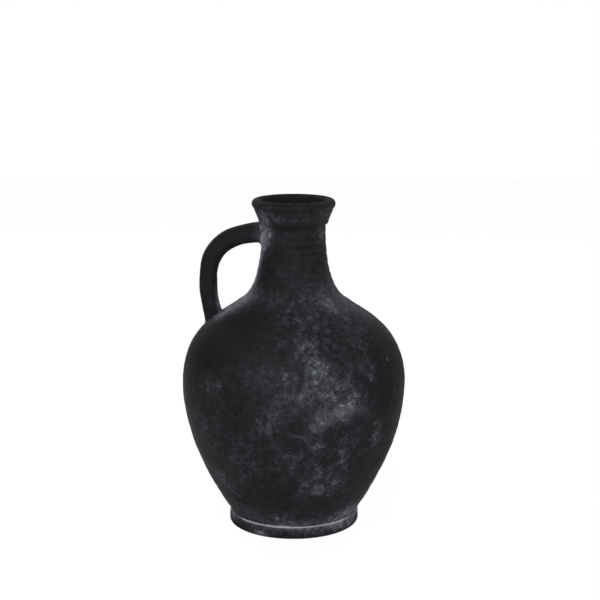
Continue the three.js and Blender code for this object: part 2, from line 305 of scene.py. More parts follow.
def waved(waves, angle, height):
    total = 0
    for turns, pitch, phase in waves:
        total = total + np.cos(turns * angle + math.tau * height / pitch + phase)
    return total / math.sqrt(len(waves) / 2)


def finger_rings(angle, height, pitch):
    """From -1 on the ridges to 1 in the grooves; fingers leave wide grooves and narrow ridges."""
    turn = math.tau * height / pitch + angle + RING_SWAY * waved(RING_WAVER, angle, height)
    return 1 - 2 * np.abs(np.sin(turn / 2)) ** RIDGE_POWER


print("the wall dents in", len(BROAD_DENTS), "broad waves and", len(SMALL_DENTS), "small ones")

# %% How deep the marks go, outside and in the hollow
BROAD_DEPTH = 0.22 * MM
SMALL_DEPTH = 0.13 * MM
RING_PITCH = 8.2 * MM
RING_DEPTH = 0.06 * MM
LOW_RING_DEPTH = 0.07 * MM
NECK_RING_DEPTH = 0.14 * MM
CREASE_HEIGHT = JUG_HEIGHT - 9.5 * MM
CREASE_DEPTH = 0.5 * MM
CREASE_REACH = 1.1 * MM
GIRTH_SKIM = 0.3 * MM
GIRTH_REACH = 22 * MM
HOLLOW_RING_PITCH = 11 * MM
HOLLOW_RING_DEPTH = 0.45 * MM
LOW_BODY = (40 * MM, GIRTH_HEIGHT + 5 * MM)
NECK_RISE = (NECK_FOOT_HEIGHT - 4 * MM, NECK_FOOT_HEIGHT + 24 * MM)
COLLAR_START = (THROAT_HEIGHT - 2 * MM, THROAT_HEIGHT + 2 * MM)
FOOT_START = (0.5 * MM, 5 * MM)


def outer_mark(angle, height):
    """How far the outer skin lies inside the drawn line."""
    low_body = 1 - smooth_step(height, *LOW_BODY)
    on_neck = smooth_step(height, *NECK_RISE)
    on_collar = smooth_step(height, *COLLAR_START)
    broad = BROAD_DEPTH * np.tanh(waved(BROAD_DENTS, angle, height))
    small = SMALL_DEPTH * (0.6 + 0.9 * low_body) * np.tanh(waved(SMALL_DENTS, angle, height))
    ring_depth = (RING_DEPTH + LOW_RING_DEPTH * low_body + NECK_RING_DEPTH * on_neck) * (1 - on_collar)
    rings = ring_depth * finger_rings(angle, height, RING_PITCH)
    crease = CREASE_DEPTH * near(height, CREASE_HEIGHT, CREASE_REACH)
    marks = (broad + small) * (1 - 0.6 * on_collar) + rings + crease
    skim = GIRTH_SKIM * near(height, GIRTH_HEIGHT, GIRTH_REACH)
    room = GIRTH_RADIUS - radius_of(wall_outside, height)
    return np.maximum(skim + marks, -room) * smooth_step(height, *FOOT_START)


def inner_mark(angle, height):
    """The fingers press deeper on the hollow side, where nobody smooths them, and less towards the mouth."""
    rings = HOLLOW_RING_DEPTH * finger_rings(angle, height, HOLLOW_RING_PITCH)
    over_floor = smooth_step(height, FLOOR_TOP, FLOOR_TOP + 14 * MM)
    by_the_mouth = smooth_step(height, THROAT_HEIGHT - 20 * MM, THROAT_HEIGHT + 5 * MM)
    return rings * over_floor * (1 - 0.8 * by_the_mouth)


# %% [markdown]
# ## Turning a section
# A section is a closed line of clay: its outer skin, its joint faces and its hollow side. A screw modifier
# could turn it, but it couldn't press the hand's marks, which change with the angle. So the wheel is an
# array of angles here. Joint faces meet the skins at crisp edges, marked sharp so that their shading doesn't
# bleed into the skin, and the skins themselves are shaded smooth.

# %% The wheel
COLUMNS = 400
SAME_PLACE = 1e-7
# the kinds of line in a section: joint face or bottom, outer skin, and hollow side
CUT = 0
OUTER = 1
INNER = 2
angles = np.linspace(-math.pi, math.pi, COLUMNS, endpoint=False)
print("at the girth the columns are", round(math.tau * GIRTH_RADIUS / COLUMNS / MM, 2), "mm apart")


def in_space(radius, angle, height):
    """Angle 0 is the front, towards -Y, and angles grow towards +X."""
    return radius * np.sin(angle), -radius * np.cos(angle), height


def angle_round(points):
    """The angles of points in space, as in_space takes them."""
    return np.arctan2(points[..., 0], -points[..., 1])


def joined_runs(runs):
    """One list of points from runs of (line, kind), and the rings where a joint face starts or ends."""
    points, kinds, crisp = [], [], []
    for line, kind in runs:
        start = 1 if points and np.allclose(points[-1], line[0], atol=SAME_PLACE) else 0
        if points and (kind == CUT or kinds[-1] == CUT):
            crisp.append(len(points) - start)
        if start and kind != CUT:
            kinds[-1] = kind
        points.extend(line[start:])
        kinds.extend([kind] * (len(line) - start))
    return np.array(points), np.array(kinds), crisp


def ring_faces(count, closed):
    """Four-sided faces between neighbouring rings, all the way round."""
    low = np.arange(count if closed else count - 1)[:, None] * COLUMNS
    high = (low + COLUMNS) % (count * COLUMNS)
    column = np.arange(COLUMNS)
    beside = (column + 1) % COLUMNS
    quads = np.stack([low + column, low + beside, high + beside, high + column], axis=-1)
    return quads.reshape(-1, 4).tolist()


def pole_faces(count):
    """Two fans that close the first and the last ring onto points on the axis."""
    first_pole = count * COLUMNS
    last_pole = first_pole + 1
    last_ring = (count - 1) * COLUMNS
    fans = []
    for column in range(COLUMNS):
        beside = (column + 1) % COLUMNS
        fans.append((first_pole, beside, column))
        fans.append((last_ring + column, last_ring + beside, last_pole))
    return fans


def pressed_rings(line, kinds):
    """Every ring of the section with the hand's marks in it: rings by columns by three."""
    mark = outer_mark(angles, line[:, 1:]) * (kinds[:, None] == OUTER)
    mark = mark + inner_mark(angles, line[:, 1:]) * (kinds[:, None] == INNER)
    radius = line[:, :1] - mark
    height = line[:, 1:] + 0 * angles
    return np.stack(in_space(radius, angles, height), axis=-1)


# %% From arrays to a piece of the scene
def new_piece(name, corners, faces):
    mesh = bpy.data.meshes.new(name)
    mesh.from_pydata(corners, [], faces)
    mesh.shade_smooth()
    piece = bpy.data.objects.new(name, mesh)
    bpy.context.scene.collection.objects.link(piece)
    print(name, len(mesh.polygons), "faces")
    return piece


def remember(piece, name, values):
    """Keeps one number for each point of a piece, for the paint and the material to read."""
    attribute = piece.data.attributes.new(name, "FLOAT", "POINT")
    attribute.data.foreach_set("value", np.asarray(values, np.float32))


def mark_crisp(mesh, crisp):
    """Marks the edges that run round the section at the given rings as sharp."""
    pairs = np.empty(len(mesh.edges) * 2, np.int32)
    mesh.edges.foreach_get("vertices", pairs)
    rings = pairs.reshape(-1, 2) // COLUMNS
    sharp = (rings[:, 0] == rings[:, 1]) & np.isin(rings[:, 0], sorted(crisp))
    attribute = mesh.attributes.new("sharp_edge", "BOOLEAN", "EDGE")
    attribute.data.foreach_set("value", sharp)


def turned(name, runs):
    """A section from its runs. A line that starts and ends on the axis gets a point there at each end."""
    line, kinds, crisp = joined_runs(runs)
    closed = np.allclose(line[0], line[-1], atol=SAME_PLACE)
    if closed:
        poles = []
        crisp = set(crisp + [0])
        rings = slice(0, -1)
    else:
        poles = [(0, 0, line[0, 1]), (0, 0, line[-1, 1])]
        crisp = {ring - 1 for ring in crisp}
        rings = slice(1, -1)
    line = line[rings]
    kinds = kinds[rings]
    corners = pressed_rings(line, kinds).reshape(-1, 3).tolist() + poles
    faces = ring_faces(len(line), closed) + ([] if closed else pole_faces(len(line)))
    piece = new_piece(name, corners, faces)
    mark_crisp(piece.data, crisp)
    remember(piece, "skin", np.concatenate([np.repeat(kinds, COLUMNS), [CUT] * len(poles)]))
    return piece


# %% [markdown]
# ## The five turned sections
# The tongues and rebates are the frame's own: a lower section ends in a tongue beside the bore, and the one
# above stands round it. Outside, two neighbours share one ring of points, so the wall reads as one body of
# clay, as luted and fired clay does.

# %% Where the joints stand in the thickness of the clay
def joint_radius(seam):
    """Half way through the wall, beside the middle of the tongue."""
    middle = seam + TONGUE / 2
    return (radius_of(wall_outside, middle) + radius_of(wall_inside, middle)) / 2


GIRTH_JOINT = joint_radius(GIRTH_HEIGHT)
NECK_JOINT = joint_radius(NECK_FOOT_HEIGHT)
THROAT_JOINT = THROAT_RADIUS - WALL_AT_THROAT / 2
BORE_RADIUS = THROAT_RADIUS - WALL_AT_THROAT
print("joint radii in mm:", [round(v / MM, 1) for v in (GIRTH_JOINT, NECK_JOINT, THROAT_JOINT)])


def tongue_up(outside, seam, joint, inside):
    """The joint face of a lower section: in along the land, up the tongue and in to the hollow side."""
    return [outside, (joint, seam), (joint, seam + TONGUE), inside]


def rebate_down(inside, seam, joint, outside):
    """The joint face of an upper section, round the tongue with a gap for the slip."""
    gap = joint + SLIP_GAP
    return [inside, (gap, inside[1]), (gap, seam), outside]


# %% The runs of a section, with points close together only where the skin shows
SKIN_STEP = 1.5 * MM
NECK_STEP = 1.2 * MM
FOOT_STEP = 0.7 * MM
EDGE_STEP = 0.6 * MM
HOLLOW_STEP = 3.5 * MM
FLAT_STEP = 6 * MM
BORE_STEP = 2 * MM


def skin(line, step=SKIN_STEP):
    return evenly(line, step), OUTER


def hollow(line, step=HOLLOW_STEP):
    return evenly(line, step), INNER


def cut(line):
    """A joint face or a bottom, of straight stretches between its few points."""
    return np.array(line, float), CUT


# %% The foot ring, with its resting face, rounded flank, worn upper edge and half of the gutter
gutter_low = gutter[deepest]
gutter_seat = (gutter_low[0], SEAT_HEIGHT)
bore_low = (FOOT_BORE, 0)
bore_high = (FOOT_BORE_TOP, SEAT_HEIGHT)
foot_ring = turned("thrown_foot", [
    cut([bore_low, (RESTING_RADIUS, 0)]),
    skin(flank, FOOT_STEP),
    skin(gutter[:deepest + 1], EDGE_STEP),
    cut([gutter_low, gutter_seat, bore_high]),
    cut(evenly([bore_high, bore_low], BORE_STEP)),
])

# %% The belly, with the floor that sits in the foot ring
FLOOR_CORNER_REACH = 8 * MM

floor_start = belly_inside[0]
floor_bend = floor_start[1] - FLOOR_TOP
floor_corner = bezier(
    floor_start,
    (floor_start[0] - floor_bend * math.tan(SPRING_LEAN), FLOOR_TOP),
    (floor_start[0] - floor_bend - FLOOR_CORNER_REACH, FLOOR_TOP),
)
belly_end = GIRTH_HEIGHT + TONGUE
belly_top = (radius_of(wall_inside, belly_end), belly_end)
belly = turned("thrown_belly", [
    cut(evenly([(0, SEAT_HEIGHT), gutter_seat], FLAT_STEP)),
    cut([gutter_seat, gutter_low]),
    skin(gutter[deepest:], FOOT_STEP),
    skin(belly_curve),
    cut(tongue_up(girth, GIRTH_HEIGHT, GIRTH_JOINT, belly_top)),
    hollow(stretch(wall_inside, floor_start[1], belly_end)[::-1]),
    hollow(floor_corner),
    hollow([floor_corner[-1], (0, FLOOR_TOP)], FLAT_STEP),
])

# %% The shoulder, from the girth in to the foot of the neck
shoulder_start = GIRTH_HEIGHT + TONGUE + SLIP_GAP
shoulder_end = NECK_FOOT_HEIGHT + TONGUE
shoulder_low = (radius_of(wall_inside, shoulder_start), shoulder_start)
shoulder_top = (radius_of(wall_inside, shoulder_end), shoulder_end)
shoulder = turned("thrown_shoulder", [
    cut(rebate_down(shoulder_low, GIRTH_HEIGHT, GIRTH_JOINT, girth)),
    skin(shoulder_curve),
    cut(tongue_up(neck_foot, NECK_FOOT_HEIGHT, NECK_JOINT, shoulder_top)),
    hollow(stretch(wall_inside, shoulder_start, shoulder_end)[::-1]),
])

# %% The neck
neck_start = NECK_FOOT_HEIGHT + TONGUE + SLIP_GAP
neck_low = (radius_of(wall_inside, neck_start), neck_start)
neck_top = (BORE_RADIUS, THROAT_HEIGHT + TONGUE)
neck = turned("thrown_neck", [
    cut(rebate_down(neck_low, NECK_FOOT_HEIGHT, NECK_JOINT, neck_foot)),
    skin(neck_curve, NECK_STEP),
    cut(tongue_up(throat, THROAT_HEIGHT, THROAT_JOINT, neck_top)),
    hollow(np.vstack([neck_top, stretch(wall_inside, neck_start, THROAT_HEIGHT)[::-1]])),
])

# %% The mouth collar
collar = turned("thrown_collar", [
    cut(rebate_down(bore_top, THROAT_HEIGHT, THROAT_JOINT, throat)),
    skin(collar_face, EDGE_STEP),
    hollow(mouth_cone, NECK_STEP),
])

# %% [markdown]
# ## The pulled handle
# The strap is pulled from a lump of wet clay, stuck on under the collar, bent over and pressed onto the
# shoulder. A curve with a bevel would give an even pipe. Here the strap is drawn as rails that run along it,
# one for each place round its rounded section, so it can swell at the roots and waver like soft clay. Each
# rail starts and ends just under the skin of the wall that it meets.

# %% The strap's sizes
STRAP_THICKNESS = 17.4 * MM
STRAP_WIDTH = 21 * MM
STRAP_SQUARENESS = 2.5
STRAP_WAVER = 0.25 * MM
STRAP_STEP = 0.5 * MM
ROOT_SWELL = 2.6 * MM
ROOT_LENGTH = 34 * MM
HEAD_GAIN = 1.6 * MM
HEAD_END_SHARE = 0.44
SLIM_START_SHARE = 0.62

# %% The strap's middle line: out from the neck, over the bend, and down onto the shoulder
ROOT_START = THROAT_RADIUS - 7.6 * MM
ROOT_HEIGHT = THROAT_HEIGHT - 6.7 * MM
LANDING_RADIUS = GIRTH_RADIUS - 32 * MM
LANDING_LEAN = math.radians(8.6)
LANDING_DEPTH = 12.6 * MM
ELBOW_RADIUS = LANDING_RADIUS + 5.5 * MM
ELBOW_SHARE = 0.37
TOP_BOW = 58.5 * MM
ELBOW_BOW_UP = 25 * MM
ELBOW_BOW_DOWN = 16.5 * MM
LANDING_BOW = 13.6 * MM

LANDING_HEIGHT = float(np.interp(-LANDING_RADIUS, -shoulder_curve[:, 0], shoulder_curve[:, 1]))
ELBOW_HEIGHT = between(LANDING_HEIGHT, ROOT_HEIGHT, ELBOW_SHARE)
elbow = (ELBOW_RADIUS, ELBOW_HEIGHT)
landing_way = leaning(LANDING_LEAN)
landing = np.array([LANDING_RADIUS, LANDING_HEIGHT]) - landing_way * LANDING_DEPTH
top_bow = bezier(
    (ROOT_START, ROOT_HEIGHT),
    (ROOT_START + TOP_BOW, ROOT_HEIGHT),
    (ELBOW_RADIUS, ELBOW_HEIGHT + ELBOW_BOW_UP),
    elbow,
)
low_bow = bezier(
    elbow,
    (ELBOW_RADIUS, ELBOW_HEIGHT - ELBOW_BOW_DOWN),
    landing + landing_way * LANDING_BOW,
    landing,
)
middle_line = evenly(np.vstack([top_bow, low_bow[1:]]), STRAP_STEP)
strap_along = distance_along(middle_line)
strap_length = strap_along[-1]
print("strap", round(strap_length / MM), "mm long, lands at height", round(LANDING_HEIGHT / MM, 1))

# %% Rails along the strap
RAILS = 88
HANDLE_WAVES = hand_waves(8, 2, 22, 70)
rail_angles = np.linspace(0, math.tau, RAILS, endpoint=False)


def squarish(wave):
    """A cosine or sine drawn out, so that the section it goes round is a rounded strap, not an ellipse."""
    return np.sign(wave) * np.abs(wave) ** (2 / STRAP_SQUARENESS)


def strap_rails():
    """Points of every rail along the whole middle line: rails by stations by three."""
    outward = square_to(middle_line)
    from_root = np.minimum(strap_along, strap_length - strap_along)
    swell = ROOT_SWELL * np.clip(1 - from_root / ROOT_LENGTH, 0, 1) ** 2
    pulled = smooth_step(strap_along / strap_length, HEAD_END_SHARE, SLIM_START_SHARE)
    swell = swell + HEAD_GAIN * (1 - pulled)
    waver = STRAP_WAVER * np.tanh(waved(HANDLE_WAVES, rail_angles[:, None], strap_along[None, :]))
    depth = squarish(np.cos(rail_angles))[:, None] * ((STRAP_THICKNESS + swell) / 2 + waver)
    width = squarish(np.sin(rail_angles))[:, None] * ((STRAP_WIDTH + swell) / 2 + waver)
    radial = middle_line[:, 0] + outward[:, 0] * depth
    height = middle_line[:, 1] + outward[:, 1] * depth
    return np.stack([-radial, width, height], axis=-1)


rails = strap_rails()
print("rails:", rails.shape[0], "with", rails.shape[1], "stations each")


# %% Where each rail meets the wall
def height_over_wall(points):
    """How far points stand outside the wall's skin, about square to it."""
    radius = np.hypot(points[..., 0], points[..., 1])
    height = points[..., 2]
    wall = radius_of(wall_outside, height)
    slope = (radius_of(wall_outside, height + MM) - radius_of(wall_outside, height - MM)) / (2 * MM)
    return (radius - wall) / np.sqrt(1 + slope ** 2)


def rail_crossing(rail, level, from_neck):
    """The distance along the strap at which a rail stands at a level over the wall."""
    over = height_over_wall(rail) - level
    order = np.arange(len(over)) if from_neck else np.arange(len(over))[::-1]
    # seen from that end, the last station of its half that is still inside the wall
    inside = np.nonzero(over[order[:len(over) // 2]] < 0)[0]
    last = inside[-1] if len(inside) else 0
    here = order[last]
    there = order[last + 1]
    share = over[here] / (over[here] - over[there])
    return between(strap_along[here], strap_along[there], share)


SUNK = -2.4 * MM
neck_ends = np.array([rail_crossing(rail, SUNK, True) for rail in rails])
shoulder_ends = np.array([rail_crossing(rail, SUNK, False) for rail in rails])
rail_lengths = shoulder_ends - neck_ends
print("rails are", round(rail_lengths.min() / MM), "to", round(rail_lengths.max() / MM), "mm long")

# %% The handle's skin
STATIONS = 150


def grid_piece(name, grid, end_caps):
    """A piece over a grid of rails by stations by three, closed round the rails and maybe at the ends."""
    rail_count, station_count = grid.shape[:2]
    corners = grid.reshape(-1, 3).tolist()
    rail = np.arange(rail_count)[:, None] * station_count
    beside = (rail + station_count) % (rail_count * station_count)
    station = np.arange(station_count - 1)
    faces = np.stack([rail + station, rail + station + 1, beside + station + 1, beside + station], axis=-1)
    faces = faces.reshape(-1, 4).tolist()
    if end_caps:
        for end, flip in ((0, False), (station_count - 1, True)):
            ring = [rail_index * station_count + end for rail_index in range(rail_count)]
            centre = len(corners)
            corners.append(grid[:, end].mean(axis=0).tolist())
            for index, here in enumerate(ring):
                there = ring[(index + 1) % rail_count]
                faces.append((centre, there, here) if flip else (centre, here, there))
    return new_piece(name, corners, faces)


trimmed_rails = np.array([
    points_at(rail, strap_along, between(start, end, np.linspace(0, 1, STATIONS)))
    for rail, start, end in zip(rails, neck_ends, shoulder_ends)
])
handle = grid_piece("pulled_handle", trimmed_rails, end_caps=True)

# %% [markdown]
# ## The smeared clay at the two roots
# A roll of soft clay is pressed into the corner where the strap meets the wall, and wiped out both ways with
# a thumb. A boolean with a bevel could round that corner, but it would be the same everywhere. Here the
# corner is followed rail by rail: a short curve leaves the strap, sags into the corner and runs out on the
# wall, and how far it reaches changes from the sides of the strap to its top and underside.

# %% A roll of clay along the corner
ROLL_STEPS = 16
THUMB_WAVES = hand_waves(7, 9, 14, 40)
THUMB_SWAY = 0.16
STRAP_FEATHER_SHARE = 0.012
WALL_FEATHER = 0.06 * MM
HIDDEN_DEPTH = 1.2 * MM
HIDDEN_REACH_SHARE = 0.9
HIDDEN_CORNER_SHARE = 0.12
strap_heart = rails.mean(axis=0)


def on_the_wall(point, sunk):
    """The point moved in or out to the wall's skin, or sunk under it, at its own height and angle."""
    angle = angle_round(point)
    radius = radius_of(wall_outside, point[2]) - outer_mark(angle, point[2]) - sunk
    return np.array(in_space(radius, angle, point[2]))


def roll_section(angle, rail, from_neck, on_strap, on_wall, fullness, ceiling):
    """One closed line across the roll, beside a rail: from the strap over the skin to the wall, and back."""
    start = rail_crossing(rail, 0, from_neck)
    thumb = 1 + THUMB_SWAY * math.tanh(waved(THUMB_WAVES, angle, start))
    towards_strap = 1 if from_neck else -1
    places = np.array([start, start + towards_strap * on_strap(angle) * thumb])
    corner, strap_edge = points_at(rail, strap_along, places)
    corner_heart, edge_heart = points_at(strap_heart, strap_along, places)
    out = (corner - corner_heart) / np.linalg.norm(corner - corner_heart)
    strap_edge = strap_edge - (strap_edge - edge_heart) * STRAP_FEATHER_SHARE
    spread = out * on_wall(angle) * thumb
    wall_edge = corner + spread
    wall_edge[2] = min(wall_edge[2], ceiling)
    wall_edge = on_the_wall(wall_edge, WALL_FEATHER)
    to_edges = strap_edge + wall_edge - 2 * corner
    across = bezier(strap_edge, corner + to_edges * fullness, wall_edge, steps=ROLL_STEPS)
    hidden_wall = on_the_wall(corner + spread * HIDDEN_REACH_SHARE, HIDDEN_DEPTH)
    hidden_corner = corner - to_edges * HIDDEN_CORNER_SHARE
    hidden_strap = strap_edge - out * HIDDEN_DEPTH
    return np.vstack([across, hidden_wall, hidden_corner, hidden_strap, strap_edge])


def smeared_corner(name, from_neck, **shape):
    sections = [roll_section(angle, rail, from_neck, **shape) for angle, rail in zip(rail_angles, rails)]
    return grid_piece(name, np.array(sections), end_caps=False)


def reach(flat, side, power=1):
    """How far the thumb wiped, from the strap's top and underside round to its two sides."""
    return lambda angle: between(flat, side, abs(math.sin(angle)) ** power) * MM


# %% The upper and the lower roll
upper_clay = smeared_corner(
    "smeared_clay_upper",
    from_neck=True,
    on_strap=reach(4.5, 5.5),
    on_wall=reach(4.0, 9.5, power=2),
    fullness=0.12,
    ceiling=ledge[1] - 0.5 * MM,
)
lower_clay = smeared_corner(
    "smeared_clay_lower",
    from_neck=False,
    on_strap=reach(3.2, 2.4),
    on_wall=reach(3.4, 2.6),
    fullness=0.1,
    ceiling=NECK_FOOT_HEIGHT,
)

# %% [markdown]
# ## Where the pale wash stayed
# The finisher wipes a thin pale wash over the charcoal slip and most of it comes off again, so it stays in
# patches, in the gutter and along worn edges. It could be left to one random texture, but then no patch
# would be where it belongs. So each patch is a soft spot, named and placed on the skin by its angle from the
# camera's side and its height, and the material breaks the spots up into flecks and strokes. Hazes are spots
# that stay soft, and those along the outline are painted rim light, partly thin wash. Darker spots make the
# slip blacker, and low on the right that darkening is painted shade. A spot below nothing takes wash away.

# %% The patches on the front
CAMERA_TURN = math.radians(4)


def patch(name, turn, height, wide, tall, lean, strength):
    """A soft spot: degrees right of the camera's side, then millimetres up, wide and tall, and its lean."""
    return {
        "name": name,
        "angle": math.radians(turn) + CAMERA_TURN,
        "height": height * MM,
        "wide": wide * MM,
        "tall": tall * MM,
        "lean": math.radians(lean),
        "strength": strength,
    }


FRONT_PATCHES = [
    patch("brightest streak", 23, 142, 15, 7.5, 6, 1.7),
    patch("end of the streak", 30, 149, 7, 8, 20, 0.6),
    patch("left of the streak", 12, 133, 8, 7, 0, 1.2),
    patch("under the cloud", 0, 153, 12, 7, 20, 0.6),
    patch("middle cloud", 18, 162, 17, 15, -20, 1.0),
    patch("column in the cloud", 13, 180, 8, 18, 0, 0.5),
    patch("centre of the cloud", 9, 177, 9, 8, 0, 0.5),
    patch("upper cloud", 6, 192, 15, 10, 0, 0.22),
    patch("top of the cloud", 7, 203, 20, 6, 0, 0.32),
    patch("left of the cloud", -8, 174, 20, 18, 0, 0.06),
    patch("right shoulder", 43, 232, 8, 6, -25, 1.0),
    patch("under the right shoulder", 50, 222, 8, 11, -30, 0.2),
    patch("shoulder band", -5, 235, 18, 7, 0, 0.34),
    patch("middle of the shoulder", 14, 219, 26, 8, 0, 0.14),
    patch("small patch left of centre", -9, 139, 6, 6, 0, 0.7),
    patch("under the small patch", -14, 127, 9, 9, 0, 0.45),
    patch("streak at the centre", -4, 170, 5, 12, -15, 0.35),
    patch("left spots", -45, 161, 13, 8, 20, 0.7),
    patch("lower left spots", -50, 140, 6, 6, 0, 0.25),
    patch("low cloud", 10, 62, 8, 9, 0, 0.95),
    patch("right of the low cloud", 22, 61, 8, 8, 0, 0.7),
    patch("over the low cloud", 16, 80, 15, 9, 0, 0.45),
    patch("upright streak on the right", 26.5, 100, 5, 12, 12, 0.9),
    patch("spot under the streak", 13, 108, 4, 5, 0, 0.7),
    patch("upright streak near the right rim", 44, 172, 3.5, 9, -10, 0.5),
    patch("right spots", 47, 113, 6, 14, 15, 0.75),
    patch("upper right haze", 44, 202, 16, 8, 0, 0.25),
    patch("right haze", 38, 185, 13, 12, 0, 0.3),
    patch("lower left haze", -46, 80, 20, 14, 0, 0.4),
    patch("left of the bottom", -50, 57, 12, 9, 0, 0.45),
    patch("left haze", -50, 112, 10, 14, 0, 0.3),
    patch("right of the gutter", 50, 20, 26, 8, 12, 1.5),
    patch("front of the gutter", -20, 23, 20, 7, 0, 1.1),
    patch("right of the foot", 44, 8, 26, 5, 0, 0.9),
    patch("left of the foot", -27, 6, 14, 4, 0, 0.9),
    patch("low right haze", 36, 45, 14, 8, 0, 0.15),
    # painted shade: less wash on the lower right, so that side reads darker
    patch("less wash, as painted shade on the lower right", 62, 78, 24, 36, 0, -0.24),
    patch("wiped clean on the left", -54, 190, 34, 22, 0, -0.09),
    patch("wiped clean right of the streak", 56, 140, 16, 20, 0, -0.1),
    patch("neck under the collar", 62, 298, 8, 7, 0, 0.5),
    patch("collar on the left", -51, 316, 9, 7, 0, 0.5),
    patch("collar left of the middle", -30, 316, 9, 5, 0, 0.36),
    patch("middle of the collar", 2, 313, 10, 5, 0, 0.1),
    patch("collar on the right", 52, 319, 8, 6, 0, 0.5),
    patch("neck beside the handle", -60, 295, 8, 11, -20, 1.9),
    patch("wiped clean under the collar", -24, 306, 14, 3.5, 0, -0.5),
    patch("strokes beside the upper root", -68, 297, 8, 11, 0, 1.4),
]

# %% Soft hazes, where the wash was smeared out thin and shows no strokes, and painted rim light along the outline
FRONT_HAZES_AND_RIM_LIGHT = [
    patch("glow of the cloud", 16, 163, 22, 18, 0, 0.085),
    patch("glow left of the cloud", -14, 175, 32, 24, 0, 0.045),
    patch("glow of the streak", 25, 140, 17, 8, 3, 0.16),
    patch("glow left of the streak", 12, 134, 10, 8, 0, 0.09),
    patch("glow under the cloud", 0, 152, 14, 9, 10, 0.05),
    patch("glow of the shoulder", 12, 226, 34, 14, 0, 0.03),
    patch("glow of the right shoulder", 44, 232, 10, 8, -20, 0.11),
    patch("glow of the low cloud", 16, 66, 20, 12, 0, 0.03),
    # painted rim light: spots along the left outline of the neck and shoulder and over the lower root are
    # brightened where the wall turns away, partly thin wash
    patch("painted rim light on the left edge of the neck", -82, 264, 7, 26, 0, 0.36),
    patch("smear beside the upper root", -67, 296, 8, 11, 0, 0.34),
    patch("smear under the upper root", -82, 278, 7, 13, -10, 1.2),
    patch("wiped clean beside the smear", -58, 272, 6, 12, 0, -0.12),
    patch("painted rim light at the left foot of the neck", -86, 249, 8, 9, 0, 0.38),
    patch("painted rim light on the left of the shoulder", -80, 234, 15, 8, 0, 0.66),
    patch("painted rim light over the lower root", -84, 222, 16, 7, 0, 0.6),
    patch("smear in front of the lower root", -79, 216, 7, 5, 0, 0.8),
    patch("smear's edge on the neck", -62, 294, 6, 12, -25, 0.26),
    patch("smear behind the lower root", -106, 216, 7, 6, 0, 0.4),
    # painted rim light along the body's left outline, and on the right of the shoulder and neck, partly thin
    # wash
    patch("painted rim light on the left limb of the girth", -92, 182, 14, 30, 0, 0.1),
    patch("painted rim light on the left limb of the lower body", -84, 110, 24, 30, 0, 0.14),
    patch("painted rim light on the right of the shoulder", 83, 230, 26, 20, 0, 0.32),
    patch("painted rim light on the right of the neck", 84, 262, 9, 18, 0, 0.14),
    patch("collar beside the handle", -56, 310, 8, 8, 0, 0.14),
    patch("front of the collar on the left", -16, 313, 14, 6, 0, 0.03),
    patch("front of the collar on the right", 20, 314, 16, 6, 0, 0.02),
    patch("right of the collar", 60, 316, 9, 9, 0, 0.13),
    patch("neck on the right", 64, 298, 9, 7, 0, 0.08),
    patch("front of the gutter", -8, 16, 36, 4, 0, 0.2),
    patch("right of the gutter", 58, 18, 28, 9, 8, 0.3),
    patch("right end of the gutter", 68, 14, 8, 8, 0, 0.12),
    patch("middle of the gutter", 8, 14, 9, 4, 0, 0.1),
    patch("rubbed spot on the foot", -30, 3.6, 7, 2, 0, 0.5),
    patch("left end of the foot's edge", -69, 10.5, 6, 3.5, 0, 0.4),
    patch("right of the foot", 52, 8, 24, 4, 0, 0.08),
]

# %% Spots where the slip is darker; on the lower right the darkening is painted shade
DARKER_SLIP_SPOTS = [
    patch("left of the girth", -62, 188, 30, 28, 0, 1.6),
    patch("left of the shoulder", -38, 218, 20, 10, 0, 0.6),
    patch("neck beside the smear", -48, 268, 10, 30, 0, 0.9),
    patch("bottom of the belly", -8, 42, 22, 13, 0, 0.8),
    patch("right of the streak", 56, 140, 12, 40, 0, 0.7),
    patch("under the streak", 22, 118, 22, 8, 0, 0.6),
    # painted shade: the lower right side is darkened where it turns from the light
    patch("lower right", 62, 66, 26, 34, 0, 1.3),
    patch("gutter right of the middle", 22, 19, 8, 7, 0, 1.0),
]

# %% Patches that nobody photographed, on the sides and back
HIDDEN_TURNS = (78, 262)
LOW_HEIGHTS = (25, 120)
HIGH_HEIGHTS = (110, 235)
wiper = random.Random(29)


def hidden_patches(count, weakest, strongest):
    found = []
    for index in range(count):
        turn = wiper.uniform(*HIDDEN_TURNS)
        height = wiper.choice((wiper.uniform(*LOW_HEIGHTS), wiper.uniform(*HIGH_HEIGHTS)))
        wide = wiper.uniform(6, 22)
        tall = wiper.uniform(5, 14)
        strength = wiper.uniform(weakest, strongest)
        lean = wiper.uniform(-30, 30)
        found.append(patch(f"hidden patch {index}", turn, height, wide, tall, lean, strength))
    return found


PATCHES = FRONT_PATCHES + hidden_patches(24, 0.25, 0.8) + [
    patch("back of the collar", 150, 318, 14, 7, 0, 0.35),
    patch("back of the neck", 130, 285, 8, 12, 0, 0.35),
    patch("back of the gutter", 180, 20, 50, 6, 0, 0.7),
]
HAZES_AND_PAINTED_LIGHT = FRONT_HAZES_AND_RIM_LIGHT + hidden_patches(8, 0.02, 0.07) + [
    patch("far side of the upper root", -120, 293, 12, 12, 10, 0.3),
    patch("back of the gutter", 180, 17, 60, 5, 0, 0.08),
]
print(len(PATCHES), "patches and", len(HAZES_AND_PAINTED_LIGHT), "hazes")

# %% What the spots add up to
SPOT_POWER = 0.85
LOW_WASH = 0.13
NECK_WASH = 0.01
THIN_WASH = 0.09
LOW_WASH_START = (45 * MM, 80 * MM)
LOW_WASH_END = (100 * MM, 160 * MM)
NECK_WASH_START = (NECK_FOOT_HEIGHT - 6 * MM, NECK_FOOT_HEIGHT + 19 * MM)


